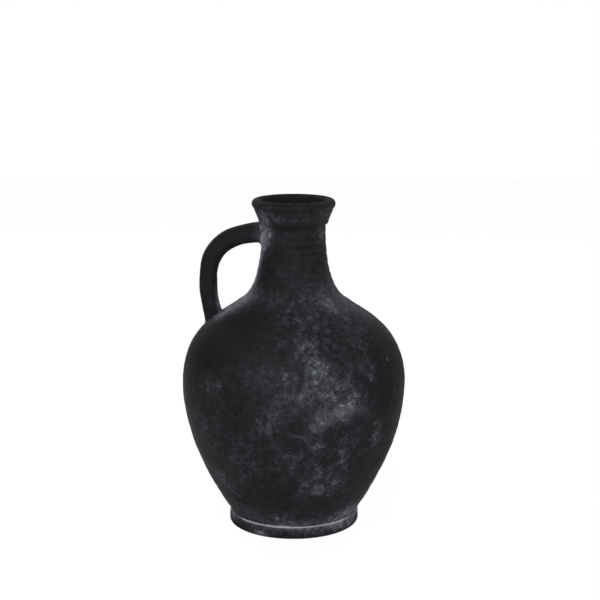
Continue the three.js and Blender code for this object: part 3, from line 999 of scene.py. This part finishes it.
def spread_over(spots, angle, height):
    """What all the soft spots of a list add up to at each place on the wall."""
    total = 0 * angle
    wall = radius_of(wall_outside, height)
    for spot in spots:
        turned_by = np.mod(angle - spot["angle"] + math.pi, math.tau) - math.pi
        sideways = turned_by * wall
        upwards = height - spot["height"]
        cosine = math.cos(spot["lean"])
        sine = math.sin(spot["lean"])
        across = (sideways * cosine + upwards * sine) / spot["wide"]
        up = (upwards * cosine - sideways * sine) / spot["tall"]
        total = total + spot["strength"] * np.exp(-(across ** 2 + up ** 2) ** SPOT_POWER)
    return total


def wash_on_wall(angle, height):
    """The patches, and the little that is left of the wash between them."""
    low_body = smooth_step(height, *LOW_WASH_START) * (1 - smooth_step(height, *LOW_WASH_END))
    on_neck = smooth_step(height, *NECK_WASH_START)
    between_patches = THIN_WASH + LOW_WASH * low_body + NECK_WASH * on_neck
    return spread_over(PATCHES, angle, height) + between_patches


# %% Where hands and cloths rub: the foot's upper edge, the lip and the ledge, and painted highlights on the lip and foot
EDGE_WAVES = hand_waves(9, 11, 30, 90)
ARRIS_REACH = 1.25 * MM
LEDGE_REACH = 1.4 * MM
LIP_WEAR_HEIGHT = JUG_HEIGHT - 0.6 * MM
LIP_WEAR_REACH = 1.6 * MM
LIP_WIDTH = 9 * MM
ARRIS_BRIGHTER_AT_FRONT = (math.radians(2), math.radians(40))
LIP_PAINTED_HIGHLIGHT = (math.radians(-3), math.radians(5))


def along_ring(radius, height, place, reach):
    """One on the ring at this place, a radius and a height, fading to nothing away from it."""
    away = (radius - place[0]) ** 2 + (height - place[1]) ** 2
    return np.exp(-away / reach ** 2)


def edge_wear_and_highlight(angle, radius, height):
    in_front = near(angle, *ARRIS_BRIGHTER_AT_FRONT)
    painted_glint = near(angle, *LIP_PAINTED_HIGHLIGHT)
    # painted highlight: the glint on the lip's front centre, and the pale line on the foot's upper edge,
    # stronger at the front, partly rubbed slip
    arris_strength = 0.85 + 0.25 * np.tanh(waved(EDGE_WAVES, angle, 0.0)) + 0.3 * in_front
    arris = along_ring(radius, height, foot_arris, ARRIS_REACH) * arris_strength
    on_lip = near(height, LIP_WEAR_HEIGHT, LIP_WEAR_REACH) * (radius > LIP_RADIUS - LIP_WIDTH)
    lip = on_lip * (0.1 + 0.3 * painted_glint)
    ledge_strength = np.clip(0.05 + 0.12 * waved(EDGE_WAVES, angle, 0.09), 0, 0.2)
    return arris + lip + along_ring(radius, height, ledge_top, LEDGE_REACH) * ledge_strength


# %% Painting the turned sections, with numbers for each point
# painted light: the top of the foot's flank, just under its upper edge, is painted paler where light falls on
# it
PAINTED_FLANK_LIGHT = 0.17
PAINTED_FLANK_LIGHT_HEIGHT = FOOT_TOP - 1.2 * MM
PAINTED_FLANK_LIGHT_REACH = 2.3 * MM
GROOVE_SLIP = 0.95
GROOVES_START = (NECK_FOOT_HEIGHT - 11 * MM, NECK_FOOT_HEIGHT + 14 * MM)
# painted shade: the foot's lowest edge is darkened as a contact shadow
UNDERSIDE_PAINTED_SHADE = 2.2
UNDERSIDE_SHADE_REACH = 6 * MM
BARE_END = (THROAT_HEIGHT - 45 * MM, THROAT_HEIGHT - 12 * MM)


def points_of(piece):
    places = np.empty(len(piece.data.vertices) * 3)
    piece.data.vertices.foreach_get("co", places)
    return places.reshape(-1, 3)


def skin_kinds(piece):
    kinds = np.empty(len(piece.data.vertices), np.float32)
    piece.data.attributes["skin"].data.foreach_get("value", kinds)
    return np.round(kinds)


def slip_thickness_and_shade(angle, height):
    """The slip gathers in the grooves of the neck and is darker in the named spots; the foot's lowest edge
    gets a painted contact shadow.
    """
    on_neck = smooth_step(height, *GROOVES_START) * (height < THROAT_HEIGHT)
    grooves = GROOVE_SLIP * finger_rings(angle, height, RING_PITCH) * on_neck
    painted_contact_shadow = UNDERSIDE_PAINTED_SHADE * near(height, 0, UNDERSIDE_SHADE_REACH)
    return grooves + painted_contact_shadow + np.clip(spread_over(DARKER_SLIP_SPOTS, angle, height), 0, 1.5)


def bare_clay(kinds, height):
    """No slip reaches deep into the hollow or under the foot, so the red clay shows there."""
    deep = (kinds == INNER) * (1 - smooth_step(height, *BARE_END))
    under = (kinds == CUT) * (height < SEAT_HEIGHT + MM)
    return deep + under


def paint_turned(piece):
    places = points_of(piece)
    angle = angle_round(places)
    radius = np.hypot(places[:, 0], places[:, 1])
    height = places[:, 2]
    kinds = skin_kinds(piece)
    outside = kinds == OUTER
    flank_light = PAINTED_FLANK_LIGHT * near(height, PAINTED_FLANK_LIGHT_HEIGHT, PAINTED_FLANK_LIGHT_REACH) * (height < FOOT_TOP)
    # haze: soft wash, painted rim light along the outline, and painted light on the top of the foot's flank
    haze = spread_over(HAZES_AND_PAINTED_LIGHT, angle, height) + flank_light
    remember(piece, "wash", np.clip(wash_on_wall(angle, height) * outside, 0, 1.5))
    remember(piece, "haze", np.clip(haze * outside, 0, 1))
    remember(piece, "wear_and_highlight", np.clip(edge_wear_and_highlight(angle, radius, height) * outside, 0, 1))
    remember(piece, "thick_slip_and_shade", slip_thickness_and_shade(angle, height) * outside)
    remember(piece, "bare", np.clip(bare_clay(kinds, height), 0, 1))


for piece in (foot_ring, belly, shoulder, neck, collar):
    paint_turned(piece)
    print("painted", len(piece.data.vertices), "points of", piece.name)

# %% The handle keeps a little haze along its inner edge, and wash where it leaves the neck
INNER_EDGE = math.radians(197)
INNER_EDGE_REACH = math.radians(20)
HEAD_PLACE = -33 * MM
HEAD_REACH = 4.5 * MM
LOW_HALF_TOP = (222 * MM, 250 * MM)


def paint_handle(piece):
    """Each rail's points run from the neck to the shoulder, and the two last points close the ends."""
    places = points_of(piece)
    inner_edge = np.repeat(near(rail_angles, INNER_EDGE, INNER_EDGE_REACH), STATIONS)
    inner_edge = np.append(inner_edge, [0, 0])
    low_half = 1 - smooth_step(places[:, 2], *LOW_HALF_TOP)
    by_the_neck = near(places[:, 0], HEAD_PLACE, HEAD_REACH)
    remember(piece, "wash", 0.05 + 0.5 * by_the_neck)
    remember(piece, "haze", 0.6 * low_half * inner_edge + 0.1 * by_the_neck)


paint_handle(handle)


# %% The smeared clay has the wall's own paint running up it, and wash caught in its crease, with a painted highlight along it
CREASE_WIDTH = 0.35
WALL_HAZE_AND_LIGHT_SHARE = 0.75


def paint_clay(piece, wash, haze, crease_place, at_back):
    """Each rail's points run from the strap, at place 0, over the roll to the wall, at place 1.

    At the back of the jug only the share at_back of the crease's paint is left.
    """
    places = points_of(piece)
    angle = angle_round(places)
    height = places[:, 2]
    per_rail = len(places) // RAILS
    place = np.tile(np.arange(per_rail) / ROLL_STEPS, RAILS)
    near_wall = smooth_step(place, 0.0, 0.6)
    behind = smooth_step(places[:, 1], -6 * MM, 3 * MM)
    # crease: wash caught along the roll and a painted highlight on it
    crease = near(place, crease_place, CREASE_WIDTH) * between(1, at_back, behind)
    wall_haze_and_painted_light = WALL_HAZE_AND_LIGHT_SHARE * spread_over(HAZES_AND_PAINTED_LIGHT, angle, height)
    remember(piece, "wash", np.clip(near_wall * wash_on_wall(angle, height) + wash * crease, 0, 1.5))
    remember(piece, "haze", np.clip(near_wall * wall_haze_and_painted_light + haze * crease, 0, 1))


paint_clay(upper_clay, wash=0.3, haze=0.03, crease_place=1.0, at_back=0.1)
paint_clay(lower_clay, wash=0.4, haze=0.2, crease_place=0.7, at_back=0.4)

# %% [markdown]
# ## The charcoal finish
# Matt slip is nearly black and a little warm, and the wash over it is thin and bluish. One noise texture
# would look like cloud. Real wiping leaves short crossing strokes, so several stretched noises lie at
# different leans, large soft noises choose among them, and the painted patches say how many strokes are
# left.

# %% A new finish, its nodes, and sums and soft steps between them
def new_finish(name):
    finish = bpy.data.materials.new(name)
    finish.use_nodes = True
    finish.node_tree.nodes.clear()
    return finish


def add_node(finish, kind, **settings):
    node = finish.node_tree.nodes.new(kind)
    for key, value in settings.items():
        setattr(node, key, value)
    return node


def feed(finish, socket, value):
    """Sets a socket to a number or colour, or links it to another node's output."""
    if isinstance(value, bpy.types.NodeSocket):
        finish.node_tree.links.new(value, socket)
    else:
        socket.default_value = value


def maths(finish, operation, first, second, clamp=False):
    node = add_node(finish, "ShaderNodeMath", operation=operation, use_clamp=clamp)
    feed(finish, node.inputs[0], first)
    feed(finish, node.inputs[1], second)
    return node.outputs[0]


def plus(finish, first, second):
    return maths(finish, "ADD", first, second)


def times(finish, first, second):
    return maths(finish, "MULTIPLY", first, second)


def ramp(finish, value, low, high, bottom=0.0, top=1.0):
    """A soft step from bottom to top while the value goes from low to high."""
    node = add_node(finish, "ShaderNodeMapRange", interpolation_type="SMOOTHSTEP")
    for socket, amount in zip(node.inputs[:5], (value, low, high, bottom, top)):
        feed(finish, socket, amount)
    return node.outputs[0]


# %% Noise, plain or stretched, and two values blended into one
def noise(finish, vector, scale, detail=3.0, roughness=0.55, distortion=0.0):
    node = add_node(finish, "ShaderNodeTexNoise")
    feed(finish, node.inputs["Vector"], vector)
    feed(finish, node.inputs["Scale"], scale)
    feed(finish, node.inputs["Detail"], detail)
    feed(finish, node.inputs["Roughness"], roughness)
    feed(finish, node.inputs["Distortion"], distortion)
    return node.outputs[0]


def stretched(finish, vector, lean, longer):
    """Coordinates in which a noise's marks come out longer along a line that leans from the level."""
    node = add_node(finish, "ShaderNodeMapping", vector_type="TEXTURE")
    feed(finish, node.inputs["Vector"], vector)
    node.inputs["Rotation"].default_value = (0, math.radians(-lean), 0)
    node.inputs["Scale"].default_value = (longer, longer, 1)
    return node.outputs[0]


def blended(finish, share, first, second, kind="RGBA", blend="MIX"):
    node = add_node(finish, "ShaderNodeMix", data_type=kind)
    first_socket, second_socket, out = (6, 7, 2) if kind == "RGBA" else (2, 3, 0)
    if kind == "RGBA":
        node.blend_type = blend
    feed(finish, node.inputs[0], share)
    feed(finish, node.inputs[first_socket], first)
    feed(finish, node.inputs[second_socket], second)
    return node.outputs[out]


def vector_maths(finish, operation, first, second):
    """The second value is a vector too, or a number where the first is only made longer."""
    node = add_node(finish, "ShaderNodeVectorMath", operation=operation)
    feed(finish, node.inputs[0], first)
    feed(finish, node.inputs["Scale" if operation == "SCALE" else 1], second)
    gives_number = operation in ("DOT_PRODUCT", "DISTANCE")
    return node.outputs["Value" if gives_number else "Vector"]


# %% Noises of every size, from clouds to specks, by about how many marks lie along a metre
CLOUD_SCALE = 30
LUMP_SCALE = 85
MOTTLE_SCALE = 175
STROKE_SCALE = 430
SPECK_SCALE = 560
BEND_SCALE = 55
BEND = 12 * MM
# how far each kind of stroke leans, in degrees, and how many times longer than wide it is
STROKE_LEANS = ((72, 2.6), (-38, 2.3), (12, 2.8))


def curved_coordinates(finish, place):
    """Coordinates pushed about a little, so that long marks bend."""
    push = add_node(finish, "ShaderNodeTexNoise")
    feed(finish, push.inputs["Vector"], place)
    push.inputs["Scale"].default_value = BEND_SCALE
    push.inputs["Detail"].default_value = 2
    centred = vector_maths(finish, "SUBTRACT", push.outputs["Color"], (0.5, 0.5, 0.5))
    return vector_maths(finish, "ADD", place, vector_maths(finish, "SCALE", centred, BEND))


def wiping_strokes(finish, place, curved):
    """Short strokes that cross at three leans, each ruling where two large soft noises say so."""
    strokes = [
        noise(finish, stretched(finish, curved, lean, longer), STROKE_SCALE, 2.0, 0.6)
        for lean, longer in STROKE_LEANS
    ]
    chooser = noise(finish, place, 62, 1.0)
    other = noise(finish, place, 48, 1.0, distortion=0.4)
    mixed = blended(finish, ramp(finish, chooser, 0.44, 0.56), strokes[0], strokes[1], "FLOAT")
    return blended(finish, ramp(finish, other, 0.5, 0.62), mixed, strokes[2], "FLOAT")


def shared_noises(finish, place):
    curved = curved_coordinates(finish, place)
    return {
        "cloud": noise(finish, place, CLOUD_SCALE, 4.0, 0.55),
        "lump": noise(finish, curved, LUMP_SCALE, 3.0, 0.55),
        "mottle": noise(finish, place, MOTTLE_SCALE, 5.0, 0.62),
        "speck": noise(finish, place, SPECK_SCALE, 3.0, 0.6),
        "stroke": wiping_strokes(finish, place, curved),
    }


# %% The slip, a little uneven, and darker where it lies thick and where painted shade darkens it
# colours here are linear light, with the last number for opaque
SLIP_WARM = (0.0101, 0.0085, 0.0097, 1)
SLIP_COOL = (0.0083, 0.0082, 0.0104, 1)
THICK_SLIP_AND_SHADE_DARKEN = 0.3


def painted(finish, name):
    return add_node(finish, "ShaderNodeAttribute", attribute_name=name).outputs["Fac"]


def varied(finish, value, low, high, amount):
    """A factor near one that follows a noise, less where it is low and more where it is high."""
    return ramp(finish, value, low, high, 1 - amount, 1 + amount)


def grey(finish, value):
    node = add_node(finish, "ShaderNodeCombineColor")
    for socket in node.inputs[:3]:
        feed(finish, socket, value)
    return node.outputs[0]


def slip_colour(finish, noises, mottling):
    slip = blended(finish, ramp(finish, noises["cloud"], 0.38, 0.62), SLIP_WARM, SLIP_COOL)
    mottled = varied(finish, noises["mottle"], 0.28, 0.72, mottling)
    specked = varied(finish, noises["speck"], 0.3, 0.7, 0.5 * mottling)
    # the thick slip and the painted shade darken the slip together
    thick_slip_and_shade = times(finish, painted(finish, "thick_slip_and_shade"), THICK_SLIP_AND_SHADE_DARKEN)
    tone = times(finish, times(finish, mottled, specked), maths(finish, "SUBTRACT", 1, thick_slip_and_shade))
    return blended(finish, 1.0, slip, grey(finish, tone), blend="MULTIPLY")


# %% The wash: strokes and specks in the patches, and softer wash and painted light in the hazes
def patchy_wash(finish, noises):
    """The painted patches, broken up: clouds and lumps thin them out, and strokes and specks fill them."""
    clouds = ramp(finish, noises["cloud"], 0.34, 0.64, 0.45, 1.5)
    lumps = ramp(finish, noises["lump"], 0.36, 0.62, 0.45, 1.35)
    patchy = times(finish, painted(finish, "wash"), times(finish, clouds, lumps))
    stroke_part = times(
        finish,
        ramp(finish, noises["stroke"], 0.5, 0.68, 0.0, 0.4),
        ramp(finish, noises["mottle"], 0.4, 0.6, 0.35, 1.0),
    )
    glow_part = ramp(finish, noises["mottle"], 0.38, 0.64, 0.05, 0.24)
    speck_part = ramp(finish, noises["speck"], 0.48, 0.7, 0.0, 0.16)
    full = plus(finish, stroke_part, plus(finish, glow_part, speck_part))
    return maths(finish, "MULTIPLY", patchy, full, clamp=True)


def soft_wash_and_painted_light(finish, noises):
    """The painted hazes, with the painted rim light and flank light among them, only a little uneven."""
    mottled = varied(finish, noises["mottle"], 0.3, 0.7, 0.4)
    specked = varied(finish, noises["speck"], 0.35, 0.65, 0.3)
    return times(finish, painted(finish, "haze"), times(finish, mottled, specked))


# %% [markdown]
# ## Scratches
# Knocks have left a few short scratches in the slip, and the pale wash lies in them. They could be cut into
# the mesh, but they are hardly wider than its steps. So each is a line between two points of the skin, and
# how far a place lies from that line says how much wash shows there.

# %% Each scratch: start and end as turn and height, width in millimetres, and how much wash lies in it
SCRATCHES = (
    ((-1.5, 120.4), (5, 117.9), 2.4, 0.1),
    ((5, 117.9), (11, 117.2), 2.2, 0.055),
    ((-46, 49), (-39, 43.5), 1.8, 0.13),
    ((-45, 52), (-47, 56), 1.0, 0.06),
    ((59.8, 181.5), (60.2, 178.8), 1.8, 0.3),
    ((60.8, 151), (61.2, 147), 1.6, 0.14),
    ((120, 150), (127, 146), 1.2, 0.15),
    ((205, 96), (212, 101), 1.2, 0.12),
)
FULL_SHARE_OF_WIDTH = 0.25


def skin_point(turn, height):
    """A point of the wall, in degrees to the right of the camera's side and millimetres up."""
    angle = math.radians(turn) + CAMERA_TURN
    return in_space(radius_of(wall_outside, height * MM), angle, height * MM)


def scratch(finish, place, start, end, width):
    """One on the line between two points of the skin, and none past the width."""
    way = Vector(end) - Vector(start)
    from_start = vector_maths(finish, "SUBTRACT", place, start)
    along = vector_maths(finish, "DOT_PRODUCT", from_start, way / way.length_squared)
    share = maths(finish, "MULTIPLY", along, 1.0, clamp=True)
    nearest = vector_maths(finish, "SCALE", way, share)
    away = vector_maths(finish, "DISTANCE", from_start, nearest)
    return ramp(finish, away, FULL_SHARE_OF_WIDTH * width, width, 1, 0)


def all_wash(finish, place, noises, scratches):
    """How much of the pale wash covers the slip, from none to all."""
    cover = plus(finish, patchy_wash(finish, noises), soft_wash_and_painted_light(finish, noises))
    for start, end, width, strength in scratches:
        mark = scratch(finish, place, skin_point(*start), skin_point(*end), width * MM)
        cover = plus(finish, cover, times(finish, mark, strength))
    return maths(finish, "MINIMUM", cover, 1)


print(len(SCRATCHES), "scratches, and the widest is", max(mark[2] for mark in SCRATCHES), "mm wide")

# %% [markdown]
# ## Rubbed edges, painted highlights, bare clay and the finest relief
# Where hands rub, the slip wears pale, and the same pale colour paints a highlight on the lip's front and
# along the foot's upper edge. Deep inside the jug and under its foot there is no slip, so the red clay shows.
# Each could be a material of its own on its own faces, but on real clay such edges are ragged.
# So the painted shares fade them in, and a noise breaks up the edge. Relief finer than the mesh goes into
# bump nodes, which tilt the light and leave the skin where it is.

# %% Rubbed edges, painted highlights and bare clay go over slip and wash
RUBBED_AND_HIGHLIGHT = (0.46, 0.46, 0.48, 1)
BARE_CLAY = (0.23, 0.094, 0.05, 1)
BARE_CLAY_PALE = (0.3, 0.135, 0.075, 1)
NOISE_AT_EDGES = 0.5


def with_ragged_edge(finish, name, edge_noise, low, high):
    """What was painted on the skin under this name, with its soft edge broken up by a noise."""
    broken = plus(finish, painted(finish, name), times(finish, edge_noise, NOISE_AT_EDGES))
    return ramp(finish, broken, low, high)


def rubbed_highlit_and_bare(finish, colour, noises):
    # the pale rubbed slip, with the painted highlights on the lip and the foot's upper edge
    rubbed = with_ragged_edge(finish, "wear_and_highlight", noises["mottle"], 0.55, 1.2)
    colour = blended(finish, rubbed, colour, RUBBED_AND_HIGHLIGHT)
    clay = blended(finish, ramp(finish, noises["mottle"], 0.3, 0.7), BARE_CLAY, BARE_CLAY_PALE)
    bare = with_ragged_edge(finish, "bare", noises["cloud"], 0.62, 0.95)
    return blended(finish, bare, colour, clay)


# %% Relief too fine for the mesh
GRAIN_SCALE = 1500
TURNING_SCALE = 900
TURNING_LENGTH = 40.0


def bump(finish, height, strength, distance, below=None):
    node = add_node(finish, "ShaderNodeBump")
    node.inputs["Strength"].default_value = strength
    node.inputs["Distance"].default_value = distance
    feed(finish, node.inputs["Height"], height)
    if below is not None:
        feed(finish, node.inputs["Normal"], below)
    return node.outputs[0]


def fine_relief(finish, place, noises, cover, ring_lines):
    """Slow unevenness, mottles, turning lines, grain, and the thickness of the wash itself."""
    turning = noise(finish, stretched(finish, place, 0, TURNING_LENGTH), TURNING_SCALE, 2.0, 0.5)
    grain = noise(finish, place, GRAIN_SCALE, 2.0, 0.6)
    relief = bump(finish, noises["cloud"], 0.25, 0.6 * MM)
    relief = bump(finish, noises["mottle"], 0.4, 0.4 * MM, relief)
    relief = bump(finish, turning, ring_lines, 0.12 * MM, relief)
    relief = bump(finish, grain, 0.4, 0.12 * MM, relief)
    return bump(finish, cover, 0.3, 0.15 * MM, relief)


# %% The whole finish
WASH = (0.22, 0.23, 0.275, 1)
SHINE = 0.12
SHEEN = 0.025
SHEEN_ROUGHNESS = 0.35
SMOOTHER = 0.06
ROUGHER = 0.08


def charcoal_clay(name, mottling, ring_lines, roughness, scratches=()):
    finish = new_finish(name)
    place = add_node(finish, "ShaderNodeTexCoord").outputs["Object"]
    noises = shared_noises(finish, place)
    cover = all_wash(finish, place, noises, scratches)
    colour = blended(finish, cover, slip_colour(finish, noises, mottling), WASH)
    rough = ramp(finish, noises["mottle"], 0.3, 0.7, roughness - SMOOTHER, roughness + ROUGHER)
    shader = add_node(finish, "ShaderNodeBsdfPrincipled")
    feed(finish, shader.inputs["Base Color"], rubbed_highlit_and_bare(finish, colour, noises))
    feed(finish, shader.inputs["Roughness"], rough)
    feed(finish, shader.inputs["Normal"], fine_relief(finish, place, noises, cover, ring_lines))
    shader.inputs["Specular IOR Level"].default_value = SHINE
    shader.inputs["Sheen Weight"].default_value = SHEEN
    shader.inputs["Sheen Roughness"].default_value = SHEEN_ROUGHNESS
    output = add_node(finish, "ShaderNodeOutputMaterial")
    feed(finish, output.inputs["Surface"], shader.outputs[0])
    return finish


# %% The finishes, one for each kind of clay skin on the jug
body_finish = charcoal_clay(
    "charcoal body clay",
    mottling=0.24,
    ring_lines=0.3,
    roughness=0.78,
    scratches=SCRATCHES,
)
neck_finish = charcoal_clay("charcoal neck clay", mottling=0.12, ring_lines=0.5, roughness=0.76)
handle_finish = charcoal_clay("charcoal handle clay", mottling=0.12, ring_lines=0.1, roughness=0.74)
foot_finish = charcoal_clay("worn foot clay", mottling=0.24, ring_lines=0.3, roughness=0.8)
smear_finish = charcoal_clay("smeared clay", mottling=0.2, ring_lines=0.1, roughness=0.82)
print(len(body_finish.node_tree.nodes), "nodes in", body_finish.name)

# %% [markdown]
# ## Giving every piece its place in the frame
# Each piece rides on the frame's one body, stands for one solid and takes its finish. Nothing here
# moves, so nothing is blended or squashed.

# %% Riding, replacing and finishing
PLACES = (
    (foot_ring, "foot_ring", "worn_foot", foot_finish),
    (belly, "belly", "charcoal_body", body_finish),
    (shoulder, "shoulder", "charcoal_body", body_finish),
    (neck, "neck", "charcoal_neck", neck_finish),
    (collar, "mouth_collar", "charcoal_neck", neck_finish),
    (handle, "handle", "charcoal_handle", handle_finish),
    (upper_clay, "upper_handle_clay", "smeared_clay", smear_finish),
    (lower_clay, "lower_handle_clay", "smeared_clay", smear_finish),
)
for piece, node, slot, finish in PLACES:
    piece.data.materials.append(finish)
    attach(piece, "root")
    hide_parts(node)
print(len(PLACES), "pieces stand for", len(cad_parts), "solids")

# %% [markdown]
# ## A pale studio
# The photograph has a plain white ground and soft light from all round, a little stronger from the sides.
# The white comes from what camera rays see, not from more light, so the dark clay keeps its colour, and
# the floor still takes the jug's soft shadow.

# %% The floor, a hair lower than the foot's resting face, so that the two faces don't fight
FLOOR_HALF = 3.0
FLOOR_HEIGHT = -0.02 * MM
PAPER = (0.6, 0.6, 0.6, 1)
GLOW = 1.12
GLOW_SHARE = 0.85


def paper_finish():
    """Grey paper to the light, and mostly a white glow to whoever looks at it."""
    finish = new_finish("white studio floor")
    rays = add_node(finish, "ShaderNodeLightPath")
    seen = maths(finish, "MAXIMUM", rays.outputs["Is Camera Ray"], rays.outputs["Is Glossy Ray"])
    seen = maths(finish, "MAXIMUM", seen, rays.outputs["Is Transmission Ray"])
    paper = add_node(finish, "ShaderNodeBsdfDiffuse")
    paper.inputs["Color"].default_value = PAPER
    glow = add_node(finish, "ShaderNodeEmission")
    glow.inputs["Strength"].default_value = GLOW
    mixed = add_node(finish, "ShaderNodeMixShader")
    feed(finish, mixed.inputs[0], times(finish, seen, GLOW_SHARE))
    feed(finish, mixed.inputs[1], paper.outputs[0])
    feed(finish, mixed.inputs[2], glow.outputs[0])
    output = add_node(finish, "ShaderNodeOutputMaterial")
    feed(finish, output.inputs["Surface"], mixed.outputs[0])
    return finish


def studio_floor():
    mesh = bpy.data.meshes.new("studio_floor")
    sides = ((-1, -1), (1, -1), (1, 1), (-1, 1))
    corners = [(x * FLOOR_HALF, y * FLOOR_HALF, FLOOR_HEIGHT) for x, y in sides]
    mesh.from_pydata(corners, [], [(0, 1, 2, 3)])
    mesh.materials.append(paper_finish())
    floor = bpy.data.objects.new("studio_floor", mesh)
    bpy.context.scene.collection.objects.link(floor)
    return floor


floor = studio_floor()
print("floor is", 2 * FLOOR_HALF, "m wide")


# %% The world: white to the camera, a soft grey light to the clay
SKY_LIGHT = 0.27


def studio_world():
    world = bpy.data.worlds.new("studio")
    bpy.context.scene.world = world
    world.use_nodes = True
    nodes = world.node_tree.nodes
    links = world.node_tree.links
    nodes.clear()
    rays = nodes.new("ShaderNodeLightPath")
    strength = nodes.new("ShaderNodeMix")
    strength.inputs[2].default_value = SKY_LIGHT
    strength.inputs[3].default_value = 1.0
    links.new(rays.outputs["Is Camera Ray"], strength.inputs[0])
    background = nodes.new("ShaderNodeBackground")
    background.inputs["Color"].default_value = (1, 1, 1, 1)
    links.new(strength.outputs[0], background.inputs["Strength"])
    output = nodes.new("ShaderNodeOutputWorld")
    links.new(background.outputs[0], output.inputs["Surface"])


studio_world()


# %% Soft lamps: where each stands and its two sizes, in metres, and its watts
LAMPS = (
    ("key softbox", (-0.4, -2.0, 1.35), (1.5, 1.3), 26),
    ("fill softbox", (1.0, -1.9, 0.6), (1.4, 1.2), 12),
    ("left back softbox", (-1.1, 1.3, 1.3), (0.9, 0.9), 8),
    ("right back softbox", (1.0, 1.4, 1.6), (0.9, 0.9), 6),
)


def soft_lamp(name, place, size, watts):
    """A bright rectangle that faces the middle of the jug."""
    light = bpy.data.lights.new(name, "AREA")
    light.shape = "RECTANGLE"
    light.size = size[0]
    light.size_y = size[1]
    light.energy = watts
    lamp = bpy.data.objects.new(name, light)
    bpy.context.scene.collection.objects.link(lamp)
    lamp.location = place
    aim = Vector((0, 0, JUG_HEIGHT / 2)) - Vector(place)
    lamp.rotation_euler = aim.to_track_quat("-Z", "Y").to_euler()


for lamp in LAMPS:
    soft_lamp(*lamp)
print(len(LAMPS), "lamps of", sum(lamp[-1] for lamp in LAMPS), "watts in all")

# %% [markdown]
# ## The camera
# It stands about 1.4 m away and half a metre up and looks down a little, as the photographer's did, which
# shows the foot as a shallow bowl of a curve and the mouth nearly from the side.

# %% The photograph's viewpoint
CAMERA_DISTANCE = 1388 * MM
CAMERA_ASIDE = 6.3 * MM
CAMERA_HEIGHT = 511.5 * MM
CAMERA_DIP = math.radians(11.55)
LENS = 85
SENSOR_WIDTH = 36
camera_data = bpy.data.cameras.new("photo camera")
camera_data.lens = LENS
camera_data.sensor_width = SENSOR_WIDTH
camera = bpy.data.objects.new("photo camera", camera_data)
bpy.context.scene.collection.objects.link(camera)
camera.location = (
    CAMERA_ASIDE * math.cos(CAMERA_TURN) + CAMERA_DISTANCE * math.sin(CAMERA_TURN),
    CAMERA_ASIDE * math.sin(CAMERA_TURN) - CAMERA_DISTANCE * math.cos(CAMERA_TURN),
    CAMERA_HEIGHT,
)
camera.rotation_euler = (math.pi / 2 - CAMERA_DIP, 0, CAMERA_TURN)
bpy.context.scene.camera = camera
bpy.context.scene.view_settings.view_transform = "Standard"
print("camera at", [round(v, 4) for v in camera.location])
